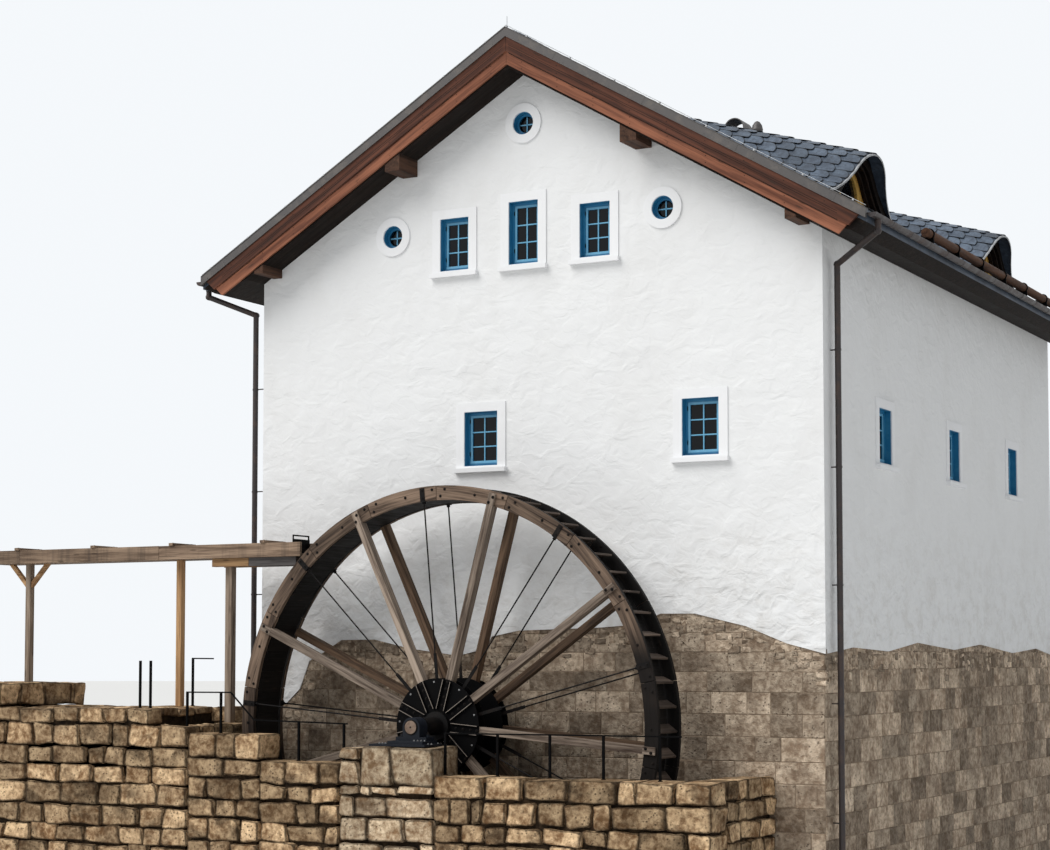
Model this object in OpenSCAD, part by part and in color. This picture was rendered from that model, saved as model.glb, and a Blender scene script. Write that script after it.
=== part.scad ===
// Watermill: a gabled mill house with its waterwheel, wheel pit, bearing pier and timber flume.
// X runs along the gable, Y back into the house, Z up from the wheel pit floor. Millimetres.
// The pieces are drawn with Y = 0 on the face of the wheel's gable and then set on the datum.

/* [House] */
// Half the width of the gable
half_width = 5460; // [4200:10:6500]
// Depth of the house from gable to gable
house_depth = 14000; // [11000:100:18000]
// Masonry thickness of the outer walls
wall_t = 600; // [450:10:800]
// Thickness of the lime coat that stands proud of the masonry
coat_t = 30; // [15:1:50]
// Thickness of the floors
floor_t = 240; // [180:10:350]
// Top of the floor under the lower windows
first_floor_z = 7800; // [6500:50:8200]
// Top of the floor under the upper windows
upper_floor_z = 11250; // [10600:50:11500]

/* [Roof] */
// Height of the roof's top edge at the ridge
ridge_z = 16030; // [15000:10:17500]
// Roof pitch in degrees
pitch = 30.5; // [26:0.5:35]
// Overhang of the roof past each gable
verge = 650; // [450:10:900]
// Distance from the ridge to the eaves edge
eaves_x = 6420; // [5200:10:7600]
// Slate and boarding layer, measured plumb
deck_t = 200; // [120:10:260]
// Rafter and soffit layer, measured plumb
soffit_t = 460; // [300:10:600]
// Gutter radius
gutter_r = 75; // [60:1:100]
// Downpipe radius
pipe_r = 50; // [40:1:60]

/* [Eyebrow dormers] */
// Distance of the dormer fronts from the ridge
dormer_x = 5100; // [4300:10:5600]
// Height of a dormer above the slates at its front
dormer_h = 1000; // [700:10:1200]
// Radius of the dormer's crown
crown_r = 900; // [600:10:950]
// Radius of the curve that sweeps the crown down into the slates
sweep_r = 1900; // [1200:10:2000]
// Fall of the dormer's own ridge in degrees
dormer_pitch = 16.7; // [8:0.1:24]
// Thickness of the dormer's curved roof
dormer_t = 160; // [100:5:220]
// Centre of the front dormer behind the gable
dormer_y = 2950; // [2600:10:3800]

/* [Windows] */
// Width of an upper window
upper_w = 574; // [450:2:900]
// Width of a lower window
lower_w = 660; // [500:2:900]
// Sill height of the upper windows
upper_z = 12060; // [11900:10:12300]
// Sill height of the lower windows
lower_z = 8585; // [8200:5:9200]
// Radius of a round window
round_r = 200; // [150:5:300]
// Width of the raised surrounds
surround_w = 160; // [100:5:200]
// Depth of the window frames behind the wall face
reveal = 110; // [60:5:200]

/* [Wheel] */
// Outer radius of the waterwheel
wheel_r = 4030; // [3400:10:4080]
// Height of the wheel axis
wheel_z = 4115; // [4110:5:4500]
// Distance of the wheel axis from the middle of the gable
wheel_x = -864; // [-1200:4:-400]
// Front face of the wheel's arms
wheel_front = -1410; // [-1460:5:-1390]
// Back face of the wheel's arms
wheel_back = -440; // [-455:5:-370]
// Radial depth of the rim
rim_d = 245; // [220:5:400]
// Arms on each side
arms = 9; // [7:1:11]
// Buckets between two arms
buckets_per_arm = 7; // [5:1:8]
// Width of an arm
arm_w = 125; // [110:5:200]
// Thickness of an arm
arm_t = 170; // [140:5:190]
// Thickness of the side rims
rim_t = 80; // [60:5:100]
// Slope of the bucket boards from the radius in degrees
bucket_rake = 38; // [20:1:45]
// Angle of the first arm
arm_phase = -5; // [-20:0.5:20]
// Radius of the hub plates
hub_r = 795; // [650:5:950]
// Radius of the shaft
shaft_r = 150; // [120:5:180]
// Radius of the journal in the outer bearing
journal_r = 115; // [100:5:130]
// Radial running clearance of both bearings
bearing_gap = 0.05; // [0.02:0.01:0.1]

/* [Pit and flume] */
// Front face of the pit wall
pit_front = -2650; // [-2900:10:-2500]
// Thickness of the pit wall
pit_t = 700; // [500:10:750]
// Top of the bearing pier
pier_z = 3810; // [3780:10:4000]
// Top of the right-hand pit wall
pit_z = 3360; // [3000:10:3600]
// Top of the flume abutment
abutment_z = 4370; // [4100:10:4600]
// Top of the flume
flume_z = 7280; // [7000:10:7600]
// Width of the flume
flume_w = 620; // [500:10:620]
// Left end of the flume
flume_left = -10900; // [-12000:50:-9800]

/* [Hidden] */
$fn = 48;
k = tan(pitch);
under = deck_t + soffit_t;
// sloping faces rest on each other with a hair's gap
seat = 0.2;
eaves_z = ridge_z - k * eaves_x;
mw = half_width - coat_t;
front_y = coat_t;
back_y = house_depth - coat_t;
wall_top = ridge_z - under - k * half_width;
deck_y0 = -verge + 60;
deck_len = house_depth + 2 * (verge - 60);
// the crown and its two sweeps are tangent arcs
sweep_c = sqrt(pow(crown_r + sweep_r, 2) - pow(sweep_r - dormer_h + crown_r, 2));
dormers_y = [dormer_y, house_depth - dormer_y];
dormer_z0 = ridge_z - k * dormer_x;
rim_in = wheel_r - rim_d;
// the arms are halved over the rims, which stand this far behind the arms' outer faces
halving = 40;
rim_y0 = wheel_front + halving;
rim_y1 = wheel_back - halving;
sector = 360 / arms;
buckets = arms * buckets_per_arm;
hub_t = 22;
// front windows: middle of the opening, bottom, width, height
upper_win = [[-1380, upper_z, upper_w, 930], [0, upper_z, upper_w, 1097], [1380, upper_z, upper_w, 930]];
lower_win = [[-840, lower_z, lower_w, 947], [3316, lower_z, lower_w, 947]];
gable_win = concat(upper_win, lower_win);
round_win = [[-2650, 12770], [2650, 12770], [0, 14520]];
side_win_y = [3000, 7000, 11000];
flume_y = -900;

// a profile in X and Z, drawn back along Y
module xz(y0, y1) translate([0, y1, 0]) rotate([90, 0, 0]) linear_extrude(y1 - y0) children();
module box(x0, x1, y0, y1, z0, z1) translate([x0, y0, z0]) cube([x1 - x0, y1 - y0, z1 - z0]);
module both_sides() { children(); mirror([1, 0, 0]) children(); }
module both_gables() { children(); translate([0, house_depth, 0]) mirror([0, 1, 0]) children(); }
// a round bar from one point to another
module bar(p, q, r) {
  d = q - p;
  translate(p) rotate([0, acos(d[2] / norm(d)), atan2(d[1], d[0])]) cylinder(h = norm(d), r = r);
}
// a strip that follows the roof line on both slopes, its top and bottom measured plumb below the roof
module chevron(top, bottom, x_top, x_bottom) polygon([
  [0, ridge_z - top], [x_top, ridge_z - top - k * x_top], [x_bottom, ridge_z - bottom - k * x_bottom],
  [0, ridge_z - bottom], [-x_bottom, ridge_z - bottom - k * x_bottom],
  [-x_top, ridge_z - top - k * x_top]]);
module gable_outline(w) polygon([[-w, 0], [w, 0], [w, ridge_z - under - seat - k * w],
  [0, ridge_z - under - seat], [-w, ridge_z - under - seat - k * w]]);

// walls
module gable_holes() {
  for (w = gable_win) translate([w[0] - w[2] / 2, w[1]]) square([w[2], w[3]]);
  for (w = round_win) translate(w) circle(round_r);
}
// purlins end in the roof line; where a wall is notched for them the notch runs on up by more
module purlin_outlines(more = 0) {
  top = ridge_z - under - seat + more;
  for (s = [-1, 1]) scale_x(s) {
    polygon([[2150, 13810], [2450, 13810], [2450, top - k * 2450], [2150, top - k * 2150]]);
    polygon([[5060, 12235], [5250, 12235], [5250, top - k * 5250], [5060, top - k * 5060]]);
  }
}
module scale_x(s) { if (s < 0) mirror([1, 0]) children(); else children(); }
module front_wall() color([0.72, 0.66, 0.55]) difference() {
  xz(front_y, front_y + wall_t) difference() {
    gable_outline(mw);
    gable_holes();
    purlin_outlines(200);
  }
  translate([wheel_x, front_y - 1, wheel_z]) rotate([-90, 0, 0]) cylinder(h = 401, r = shaft_r + 60);
}
module rear_wall() color([0.72, 0.66, 0.55]) xz(back_y - wall_t, back_y) difference() {
  gable_outline(mw);
  gable_holes();
  purlin_outlines(200);
  translate([-600, -1]) square([1200, 2351]);
}
module side_wall() difference() {
  xz(front_y + wall_t, back_y - wall_t) difference() {
    polygon([[mw - wall_t, 0], [mw, 0], [mw, ridge_z - under - seat - k * mw],
      [mw - wall_t, ridge_z - under - seat - k * (mw - wall_t)]]);
    purlin_outlines(200);
  }
  for (y = side_win_y) box(mw - wall_t - 1, mw + 1, y - lower_w / 2, y + lower_w / 2, lower_z, lower_z + 947);
}
module right_wall() color([0.72, 0.66, 0.55]) side_wall();
module left_wall() color([0.72, 0.66, 0.55]) mirror([1, 0, 0]) side_wall();

// the lime coat: a skin round all four walls with a broken lower edge over the bare masonry
front_edge = [[-5500, 4390], [-5100, 4395], [-4899, 4430], [-4613, 4689], [-4407, 5199], [-4176, 5308], [-3723, 5569],
  [-3021, 5575], [-2269, 5412], [-1289, 5287], [-748, 5408], [-629, 5615], [-97, 5716], [1449, 5756],
  [2119, 5801], [2573, 5980], [3196, 5974], [4100, 5760], [4800, 5480], [5500, 5300]];
rear_edge = [[-5500, 5300], [-4600, 5420], [-3300, 5300], [-2100, 5480], [-700, 5400], [900, 5540],
  [2300, 5380], [3900, 5460], [5500, 5300]];
side_edge = [[-100, 5300], [1300, 5420], [3100, 5360], [4700, 5520], [6900, 5400], [8600, 5510],
  [10900, 5350], [12700, 5450], [house_depth + 100, 5300]];
module below(edge) polygon(concat(edge, [[edge[len(edge) - 1][0], -100], [edge[0][0], -100]]));
module coat_sheet(edge) difference() {
  gable_outline(half_width);
  gable_holes();
  below(edge);
  purlin_outlines(200);
}
module plaster_coat() color([0.93, 0.93, 0.9]) {
  xz(0, front_y) coat_sheet(front_edge);
  xz(back_y, house_depth) coat_sheet(rear_edge);
  both_sides() translate([mw, 0, 0]) rotate([90, 0, 90]) linear_extrude(coat_t) difference() {
    translate([front_y, 5000]) square([back_y - front_y, wall_top - seat - 5000]);
    below(side_edge);
    for (y = side_win_y) translate([y - lower_w / 2, lower_z]) square([lower_w, 947]);
  }
}

// floors
module floor_slab(z) box(-mw + wall_t, mw - wall_t, front_y + wall_t, back_y - wall_t, z - floor_t, z);
module base_floor() color([0.55, 0.52, 0.48]) floor_slab(floor_t);
module first_floor() color([0.5, 0.38, 0.25]) floor_slab(first_floor_z);
module upper_floor() color([0.5, 0.38, 0.25]) floor_slab(upper_floor_z);

// roof
module roof_layer(top, bottom, x) xz(deck_y0, deck_y0 + deck_len) polygon([[0, ridge_z - top],
  [x, ridge_z - top - k * x], [x, ridge_z - bottom - k * x], [0, ridge_z - bottom]]);
// the line of the eyebrow, shrunk by t: across in X, up from the slates in Y
function arch_line(t) = let (r1 = crown_r - t, r2 = sweep_r + t, hc = dormer_h - crown_r,
  a = atan2(sweep_c, sweep_r - hc), foot = acos(sweep_r / r2), n = 8)
  concat(
    [for (i = [0:n - 1]) let (g = foot + (a - foot) * i / n)
      [-sweep_c + r2 * sin(g), sweep_r - r2 * cos(g)]],
    [for (i = [-n:n]) [r1 * sin(a * i / n), hc + r1 * cos(a * i / n)]],
    [for (i = [n - 1:-1:0]) let (g = foot + (a - foot) * i / n)
      [sweep_c - r2 * sin(g), sweep_r - r2 * cos(g)]]);
module arch_profile(t) {
  line = arch_line(t);
  w = line[len(line) - 1][0];
  polygon(concat([[-w, -900]], line, [[w, -900]]));
}
module dormer_prism(t, len) rotate([0, dormer_pitch, 0]) rotate([90, 0, 90])
  translate([0, 0, -len]) linear_extrude(len + 600) translate([0, -25]) arch_profile(t);
// the prism cut by two upright planes, in the dormer's own frame
module dormer_slice(t, len, x0, x1) intersection() {
  dormer_prism(t, len);
  translate([x0, -3000, -2000]) cube([x1 - x0, 6000, 5000]);
}
module at_dormers() for (y = dormers_y) translate([dormer_x, y, dormer_z0]) children();
// everything below the top of the slates, in the dormer's own frame
module below_slates() translate([0, 3000, 0]) rotate([90, 0, 0]) linear_extrude(6000) polygon([
  [-5000, k * 5000], [1000, -k * 1000], [1000, -4000], [-5000, -4000]]);
module dormer_void() at_dormers() dormer_slice(dormer_t, 3000, -4500, -320);
module roof_half() difference() { roof_layer(0, deck_t, eaves_x); dormer_void(); }
// rafters boxed in with boards: parallel to the roof inside, drawn in to a shallow box at the eaves
module soffit_half() difference() {
  xz(deck_y0, deck_y0 + deck_len) polygon([[0, ridge_z - deck_t - seat],
    [eaves_x - 30, ridge_z - deck_t - seat - k * (eaves_x - 30)], [eaves_x - 270, wall_top - 200],
    [half_width, wall_top], [0, ridge_z - under]]);
  dormer_void();
}
module roof_right() color([0.24, 0.27, 0.3]) roof_half();
module roof_left() color([0.24, 0.27, 0.3]) mirror([1, 0, 0]) roof_half();
module soffit_right() color([0.2, 0.14, 0.1]) soffit_half();
module soffit_left() color([0.2, 0.14, 0.1]) mirror([1, 0, 0]) soffit_half();
module dormer_roofs() color([0.24, 0.27, 0.3]) both_sides() at_dormers() difference() {
  dormer_slice(0, 4600, -5500, 0);
  dormer_slice(dormer_t, 3000, -4500, 1);
  below_slates();
}
// stepped boards that close the arch, standing on the slates
light_r = crown_r - dormer_t - 310;
module dormer_light() {
  translate([0, 250]) circle(light_r);
  translate([-light_r, 225]) square([2 * light_r, 30]);
}
module dormer_frames() color([0.13, 0.11, 0.1]) both_sides() at_dormers() difference() {
  dormer_slice(dormer_t + 0.4, 3000, -310, -60);
  dormer_slice(dormer_t + 60, 3000, -150, 0);
  dormer_slice(dormer_t + 120, 3000, -230, 0);
  translate([-400, 0, 0]) rotate([90, 0, 90]) linear_extrude(400) dormer_light();
  below_slates();
}
module dormer_glass() color([0.4, 0.45, 0.45, 0.5]) both_sides() at_dormers()
  translate([-290, 0, 0]) rotate([90, 0, 90]) linear_extrude(12) intersection() {
    translate([0, 250]) circle(light_r - 0.3);
    translate([-600, 225]) square([1200, 900]);
  }
module purlins() color([0.22, 0.14, 0.09]) xz(-verge + 30, house_depth + verge - 30) purlin_outlines();
module barge_boards() color([0.33, 0.19, 0.13]) both_gables() {
  xz(-verge, deck_y0 - 20) chevron(140, 400, 6300, 6130);
  xz(-verge + 20, deck_y0) chevron(400, 620, 6100, 5960);
  xz(deck_y0 - 20, deck_y0) chevron(140, 400, 6300, 6130);
}
module verge_flashing() color([0.45, 0.46, 0.47]) both_gables() {
  xz(-verge - 15, -verge) chevron(-20, 140 - seat, eaves_x, eaves_x);
  xz(-verge, deck_y0 + 60) chevron(-20, 0, eaves_x, eaves_x);
  xz(-verge, deck_y0) chevron(0, 140 - seat, eaves_x, eaves_x);
}
module ridge_cap() color([0.27, 0.29, 0.32]) xz(deck_y0 + 60, house_depth - deck_y0 - 60)
  chevron(-28, 0, 210, 210);

// gutters with their brackets, and downpipes
gutter_x = eaves_x + gutter_r + 5;
gutter_z = eaves_z - 50;
module gutters() color([0.2, 0.18, 0.17]) both_sides() {
  xz(deck_y0, house_depth - deck_y0) difference() {
    translate([gutter_x, gutter_z]) circle(gutter_r);
    translate([gutter_x, gutter_z]) circle(gutter_r - 4);
    translate([gutter_x - 100, gutter_z]) square([200, 100]);
  }
  for (y = [deck_y0 + 1, house_depth - deck_y0 - 5]) xz(y, y + 4) difference() {
    translate([gutter_x, gutter_z]) circle(gutter_r - 2);
    translate([gutter_x - 100, gutter_z]) square([200, 100]);
  }
  for (i = [0:14]) translate([0, 300 + i * (house_depth - 600) / 14, 0]) xz(-12, 12) {
    difference() {
      translate([gutter_x, gutter_z]) circle(gutter_r + 4);
      translate([gutter_x, gutter_z]) circle(gutter_r - 1);
      translate([gutter_x - 100, gutter_z]) square([200, 100]);
    }
    translate([eaves_x, gutter_z - 40]) square([8, 70]);
  }
  translate([gutter_x, -300, gutter_z - gutter_r - 60]) difference() {
    cylinder(h = 64, r = pipe_r + 6);
    translate([0, 0, -1]) cylinder(h = 120, r = pipe_r - 6);
  }
}
// outlet, swan neck, fall pipe and shoe, with turned elbows, collars and wall clips
module elbow(p) translate(p) rotate([75, 0, 20]) rotate_extrude() let (r = pipe_r + 8)
  polygon([[0, -r], [0.5 * r, -r], [0.9 * r, -0.6 * r], [r, 0], [0.9 * r, 0.6 * r], [0.5 * r, r], [0, r]]);
module downpipe(px, wall_y) {
  a = [gutter_x, -300, gutter_z - gutter_r - 170];
  b = [px, wall_y, gutter_z - gutter_r - 520];
  c = [px, wall_y, 250];
  d = [px + 110, wall_y, 150];
  difference() {
    union() {
      bar(a, [a[0], a[1], gutter_z - gutter_r - 60], pipe_r);
      bar(a, b, pipe_r);
      bar(c, b, pipe_r);
      bar(c, d, pipe_r);
      elbow(a);
      elbow(b);
      elbow(c);
      for (z = [700, 2600, 4500, 6400, 8300, 10200]) {
        translate([px, wall_y, z]) cylinder(h = 30, r = pipe_r + 6);
        // the stem reaches the coat above, and the masonry below its broken edge
        box(z > 5700 ? half_width : mw, px, wall_y - 8, wall_y + 8, z + 5, z + 25);
      }
    }
    bar((c + 2 * d) / 3, 2 * d - c, pipe_r - 5);
  }
}
module downpipes() color([0.3, 0.2, 0.16]) {
  downpipe(5590, 330);
  mirror([1, 0, 0]) downpipe(5690, 70);
}

// round logs that hold the snow back, on steel brackets
log_x = 5750;
log_z = ridge_z - k * log_x + 210;
module snow_guard_logs() color([0.2, 0.14, 0.1]) both_sides()
  translate([log_x, 4500, log_z]) rotate([-90, 0, 0]) cylinder(h = 9800, r = 85);
module snow_guard_brackets() color([0.15, 0.15, 0.16]) both_sides()
  for (i = [0:6]) translate([0, 4700 + i * 1566, 0]) xz(-8, 8) difference() {
    union() {
      translate([log_x, log_z]) circle(108);
      polygon([[log_x - 230, ridge_z - k * (log_x - 230)], [log_x - 60, log_z + 60],
        [log_x + 90, log_z + 40], [log_x + 90, ridge_z - k * (log_x + 90)]]);
    }
    translate([log_x, log_z]) circle(85.3);
    polygon([[log_x - 600, ridge_z - k * (log_x - 600)], [log_x + 600, ridge_z - k * (log_x + 600)],
      [log_x, log_z - 1500]]);
  }
// an arched hood and a round cowl near the ridge, both cut to the slope
module above_slates() translate([0, 5000, 0]) xz(0, 3000)
  polygon([[0, ridge_z + seat], [4000, ridge_z + seat - k * 4000], [4000, 20000], [0, 20000]]);
module roof_vents() color([0.25, 0.26, 0.28]) intersection() {
  above_slates();
  union() {
    translate([1600, 0, 0]) xz(5600, 6050) difference() {
      union() {
        translate([0, 15480]) circle(210);
        translate([-210, 14700]) square([420, 780]);
      }
      translate([0, 15480]) circle(190);
      translate([-190, 14600]) square([380, 880]);
    }
    translate([1600, 6800, 14700]) cylinder(h = 1000, r = 70);
    translate([1600, 6800, 15660]) rotate_extrude()
      polygon([[0, 0], [105, 0], [115, 60], [95, 150], [50, 215], [0, 240]]);
  }
}

// windows: w = [middle, bottom, width, height] on a wall face that looks toward -Y
module window_surround(w) xz(-20, 0) difference() {
  translate([w[0] - w[2] / 2 - surround_w, w[1] - 40]) square([w[2] + 2 * surround_w, w[3] + 40 + surround_w]);
  translate([w[0] - w[2] / 2, w[1]]) square([w[2], w[3]]);
}
module window_sill(w) xz(-95, 0)
  translate([w[0] - w[2] / 2 - surround_w - 25, w[1] - 115]) square([w[2] + 2 * surround_w + 50, 75]);
module window_frame(w) {
  module ring(a, b, y0, y1) xz(y0, y1) difference() {
    translate([w[0] - w[2] / 2 + a, w[1] + a]) square([w[2] - 2 * a, w[3] - 2 * a]);
    translate([w[0] - w[2] / 2 + b, w[1] + b]) square([w[2] - 2 * b, w[3] - 2 * b]);
  }
  ring(0, 50, reveal, reveal + 90);
  ring(49, 95, reveal + 18, reveal + 72);
}
module window_pane(w) xz(reveal + 38, reveal + 50)
  translate([w[0] - w[2] / 2 + 95, w[1] + 95]) square([w[2] - 190, w[3] - 190]);
module on_left_wall(y) translate([-half_width, y, 0]) rotate([0, 0, -90]) children();
module on_right_wall(y) translate([half_width, y, 0]) rotate([0, 0, 90]) children();
side_win = [0, lower_z, lower_w, 947];
module window_surrounds() color([0.95, 0.95, 0.93]) {
  both_gables() {
    for (w = gable_win) window_surround(w);
    for (w = round_win) translate([w[0], 0, w[1]]) rotate([90, 0, 0]) difference() {
      cylinder(h = 28, r = round_r + 150);
      translate([0, 0, -1]) cylinder(h = 30, r = round_r);
    }
  }
  for (y = side_win_y) { on_left_wall(y) window_surround(side_win); on_right_wall(y) window_surround(side_win); }
}
module window_sills() color([0.92, 0.92, 0.9]) {
  both_gables() for (w = gable_win) window_sill(w);
  for (y = side_win_y) { on_left_wall(y) window_sill(side_win); on_right_wall(y) window_sill(side_win); }
}
module window_frames() color([0.1, 0.45, 0.68]) {
  both_gables() {
    for (w = gable_win) window_frame(w);
    for (w = round_win) translate([w[0], reveal, w[1]]) rotate([-90, 0, 0]) difference() {
      cylinder(h = 80, r = round_r - 0.3);
      translate([0, 0, -1]) cylinder(h = 82, r = round_r - 55);
    }
  }
  for (y = side_win_y) { on_left_wall(y) window_frame(side_win); on_right_wall(y) window_frame(side_win); }
}
module window_glass() color([0.5, 0.6, 0.65, 0.4]) {
  both_gables() {
    for (w = gable_win) window_pane(w);
    for (w = round_win) translate([w[0], reveal + 38, w[1]]) rotate([-90, 0, 0])
      cylinder(h = 12, r = round_r - 55.3);
  }
  for (y = side_win_y) { on_left_wall(y) window_pane(side_win); on_right_wall(y) window_pane(side_win); }
}
module rear_door() color([0.32, 0.2, 0.13]) xz(back_y - 300, back_y - 230)
  translate([-600, 0]) square([1200, 2350]);

// masonry of the wheel pit
module pit_wall_left() color([0.66, 0.57, 0.42]) {
  box(-5120, -3624, pit_front, pit_front + pit_t, 0, 3960);
  box(-3624, -2030, pit_front, pit_front + pit_t, 0, 3520);
}
module bearing_pier() color([0.68, 0.58, 0.42]) difference() {
  box(-2030, -215, pit_front, pit_front + pit_t + 120, 0, pier_z);
  box(-2031, -1640, pit_front - 1, pit_front + pit_t + 121, pier_z - 20, pier_z + 1);
}
module pit_wall_right() color([0.66, 0.57, 0.42]) {
  box(-215, 4600, pit_front, pit_front + pit_t, 0, pit_z);
  // the end wall with the tailrace arch
  difference() {
    box(4000, 4600, pit_front + pit_t, front_y, 0, pit_z);
    translate([3999, -900, 1000]) rotate([0, 90, 0]) cylinder(h = 602, r = 600);
    box(3999, 4601, -1500, -300, -1, 1000);
  }
}
module flume_abutment() color([0.64, 0.56, 0.43]) difference() {
  union() {
    box(-10960, -half_width, pit_front, -300, 0, abutment_z);
    box(-half_width, -5120, pit_front, front_y, 0, abutment_z);
    box(-10960, -9300, pit_front, -300, abutment_z, 4800);
  }
  // a low shelf in the corner carries the last post of the flume
  box(-5950, -5119, pit_front - 1, -700, 3960, abutment_z + 1);
}

// timber flume on its posts
module flume_trough() color([0.5, 0.4, 0.29]) {
  box(flume_left, -3800, flume_y - flume_w / 2, flume_y - flume_w / 2 + 60, flume_z - 250, flume_z);
  box(flume_left, -3800, flume_y + flume_w / 2 - 60, flume_y + flume_w / 2, flume_z - 250, flume_z);
  box(flume_left, -3800, flume_y - flume_w / 2 + 60, flume_y + flume_w / 2 - 60, flume_z - 250, flume_z - 200);
  for (x = [-10254, -8418, -6602, -4591])
    box(x - 50, x + 50, flume_y - flume_w / 2 - 30, flume_y + flume_w / 2 + 30, flume_z, flume_z + 50);
  // a pair of bearers under the outlet end
  for (s = [-1, 1]) box(-5750, -3930, flume_y + s * 180 - 60, flume_y + s * 180 + 60, flume_z - 400, flume_z - 250);
}
module knee(x, dir) xz(flume_y - 40, flume_y + 40) polygon([[x, flume_z - 590], [x, flume_z - 700],
  [x + dir * 430, flume_z - 250], [x + dir * 325, flume_z - 250]]);
module flume_posts() color([0.6, 0.48, 0.34]) {
  box(-10260, -10145, flume_y - 60, flume_y + 60, 4800, flume_z - 250);
  knee(-10145, 1);
  knee(-10260, -1);
  box(-6682, -6567, flume_y - 60, flume_y + 60, abutment_z, flume_z - 250);
  box(-5576, -5436, flume_y - 70, flume_y + 70, 3960, flume_z - 400);
  box(-5576, -5436, flume_y - 119.7, flume_y + 119.7, flume_z - 400, flume_z - 250);
}
module flume_gate() color([0.12, 0.12, 0.13]) {
  x = -3980;
  box(x, x + 8, flume_y - flume_w / 2 + 60, flume_y + flume_w / 2 - 60, flume_z - 200, flume_z + 60);
  for (s = [0, 1]) translate([x - 20, flume_y - flume_w / 2 + 60 + s * (flume_w - 140), flume_z - 200])
    cube([20, 20, 310]);
  box(x - 20, x, flume_y - flume_w / 2 + 60, flume_y + flume_w / 2 - 60, flume_z + 110, flume_z + 135);
}

// bearings: a split pillow block on the pier and a flanged bearing on the gable
module bearing_base() color([0.14, 0.14, 0.15]) {
  box(-1500, -440, pit_front + 100, pit_front + 700, pier_z, pier_z + 36);
  box(-1190, -520, pit_front + 170, pit_front + 640, pier_z + 36, pier_z + 86);
}
bearing_y0 = -2270;
bearing_len = 260;
module bearing_housing() color([0.13, 0.13, 0.14]) difference() {
  z0 = pier_z + 86;
  union() {
    box(wheel_x - 290, wheel_x + 290, bearing_y0, bearing_y0 + bearing_len, z0, z0 + 60);
    box(wheel_x - 160, wheel_x + 160, bearing_y0, bearing_y0 + bearing_len, z0 + 60, wheel_z);
    translate([wheel_x, bearing_y0, wheel_z]) rotate([-90, 0, 0]) cylinder(h = bearing_len, r = 160);
    for (s = [-1, 1]) translate([wheel_x + s * 245, bearing_y0 + bearing_len / 2, z0 + 59])
      cylinder(h = 46, r = 30);
  }
  translate([wheel_x, bearing_y0 - 1, wheel_z]) rotate([-90, 0, 0])
    cylinder(h = bearing_len + 2, r = journal_r + bearing_gap);
}
module wall_bearing() color([0.13, 0.13, 0.14]) translate([wheel_x, front_y, wheel_z]) rotate([90, 0, 0])
  difference() {
    union() { cylinder(h = 30, r = 330); cylinder(h = 190, r = 225); }
    translate([0, 0, -1]) cylinder(h = 192, r = shaft_r + bearing_gap);
  }

// railings of flat and square steel
module rail(x0, z0, x1, z1, y) xz(y - 15, y + 15)
  polygon([[x0, z0 - 12], [x1, z1 - 12], [x1, z1 + 12], [x0, z0 + 12]]);
module rail_post(x, y, z0, z1) box(x - 18, x + 18, y - 18, y + 18, z0, z1);
module pit_railing_right() color([0.08, 0.08, 0.09]) {
  rail(-213, 4028, 3980, 4045, -2300);
  for (x = [772, 1714, 2654, 3620]) rail_post(x, -2300, pit_z, 4030);
  rail_post(-195, -2300, pit_z, 4030);
}
module pit_railing_left() color([0.08, 0.08, 0.09]) {
  rail(-5402, 4655, -4461, 4658, -2300);
  rail(-4461, 4658, -3972, 4195, -2300);
  rail(-3972, 4195, -2080, 4155, -2300);
  rail_post(-5384, -2300, 3960, 4655);
  rail_post(-4666, -2300, 3960, 4655);
  rail_post(-3049, -2300, 3520, 4175);
  rail_post(-2147, -2300, 3520, 4157);
  rail_post(-6417, -2300, abutment_z, 5200);
  rail_post(-6189, -2300, abutment_z, 5200);
  // a short rail at the back of the abutment
  rail_post(-6676, -450, abutment_z, 5240);
  rail(-6694, 5240, -6211, 5236, -450);
}

// waterwheel
module wheel_at(y) translate([wheel_x, y, wheel_z]) rotate([90, 0, 0]) children();
// shaft, journal and drum turned as one, from the wall pocket to the pier
module wheel_shaft() color([0.25, 0.17, 0.13]) {
  wheel_at(front_y + 350) cylinder(h = front_y + 350 + 1940, r = shaft_r);
  wheel_at(-1939) cylinder(h = 346, r = journal_r);
  wheel_at(wheel_back - arm_t - hub_t) cylinder(h = wheel_back - wheel_front - 2 * (arm_t + hub_t), r = 420);
  for (y = [wheel_front - hub_t, wheel_back + hub_t + 60]) wheel_at(y) cylinder(h = 60, r = 240);
}
// each set of arms is clamped between two steel discs; fins on the outer disc stand beside every arm
module hub_disc() difference() {
  cylinder(h = hub_t, r = hub_r);
  translate([0, 0, -1]) cylinder(h = hub_t + 2, r = shaft_r + 0.3);
}
module hub_fins() for (i = [0:arms - 1]) rotate([0, 0, arm_phase + i * sector]) for (s = [-1, 1])
  translate([270, s * (arm_w / 2 + 4) - 6, hub_t - 2]) cube([hub_r - 282, 12, 44]);
module outer_disc() { hub_disc(); hub_fins(); }
// two discs and the core between them, which the arms butt against
module hub() {
  translate([0, 0, arm_t]) outer_disc();
  translate([0, 0, -2]) difference() {
    cylinder(h = arm_t + 4, r = 300);
    translate([0, 0, -1]) cylinder(h = arm_t + 6, r = shaft_r + 0.3);
  }
  translate([0, 0, -hub_t]) hub_disc();
}
module hub_plates() color([0.1, 0.1, 0.11]) {
  wheel_at(wheel_front + arm_t) hub();
  translate([0, wheel_front + wheel_back, 0]) mirror([0, 1, 0]) wheel_at(wheel_front + arm_t) hub();
}
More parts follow.
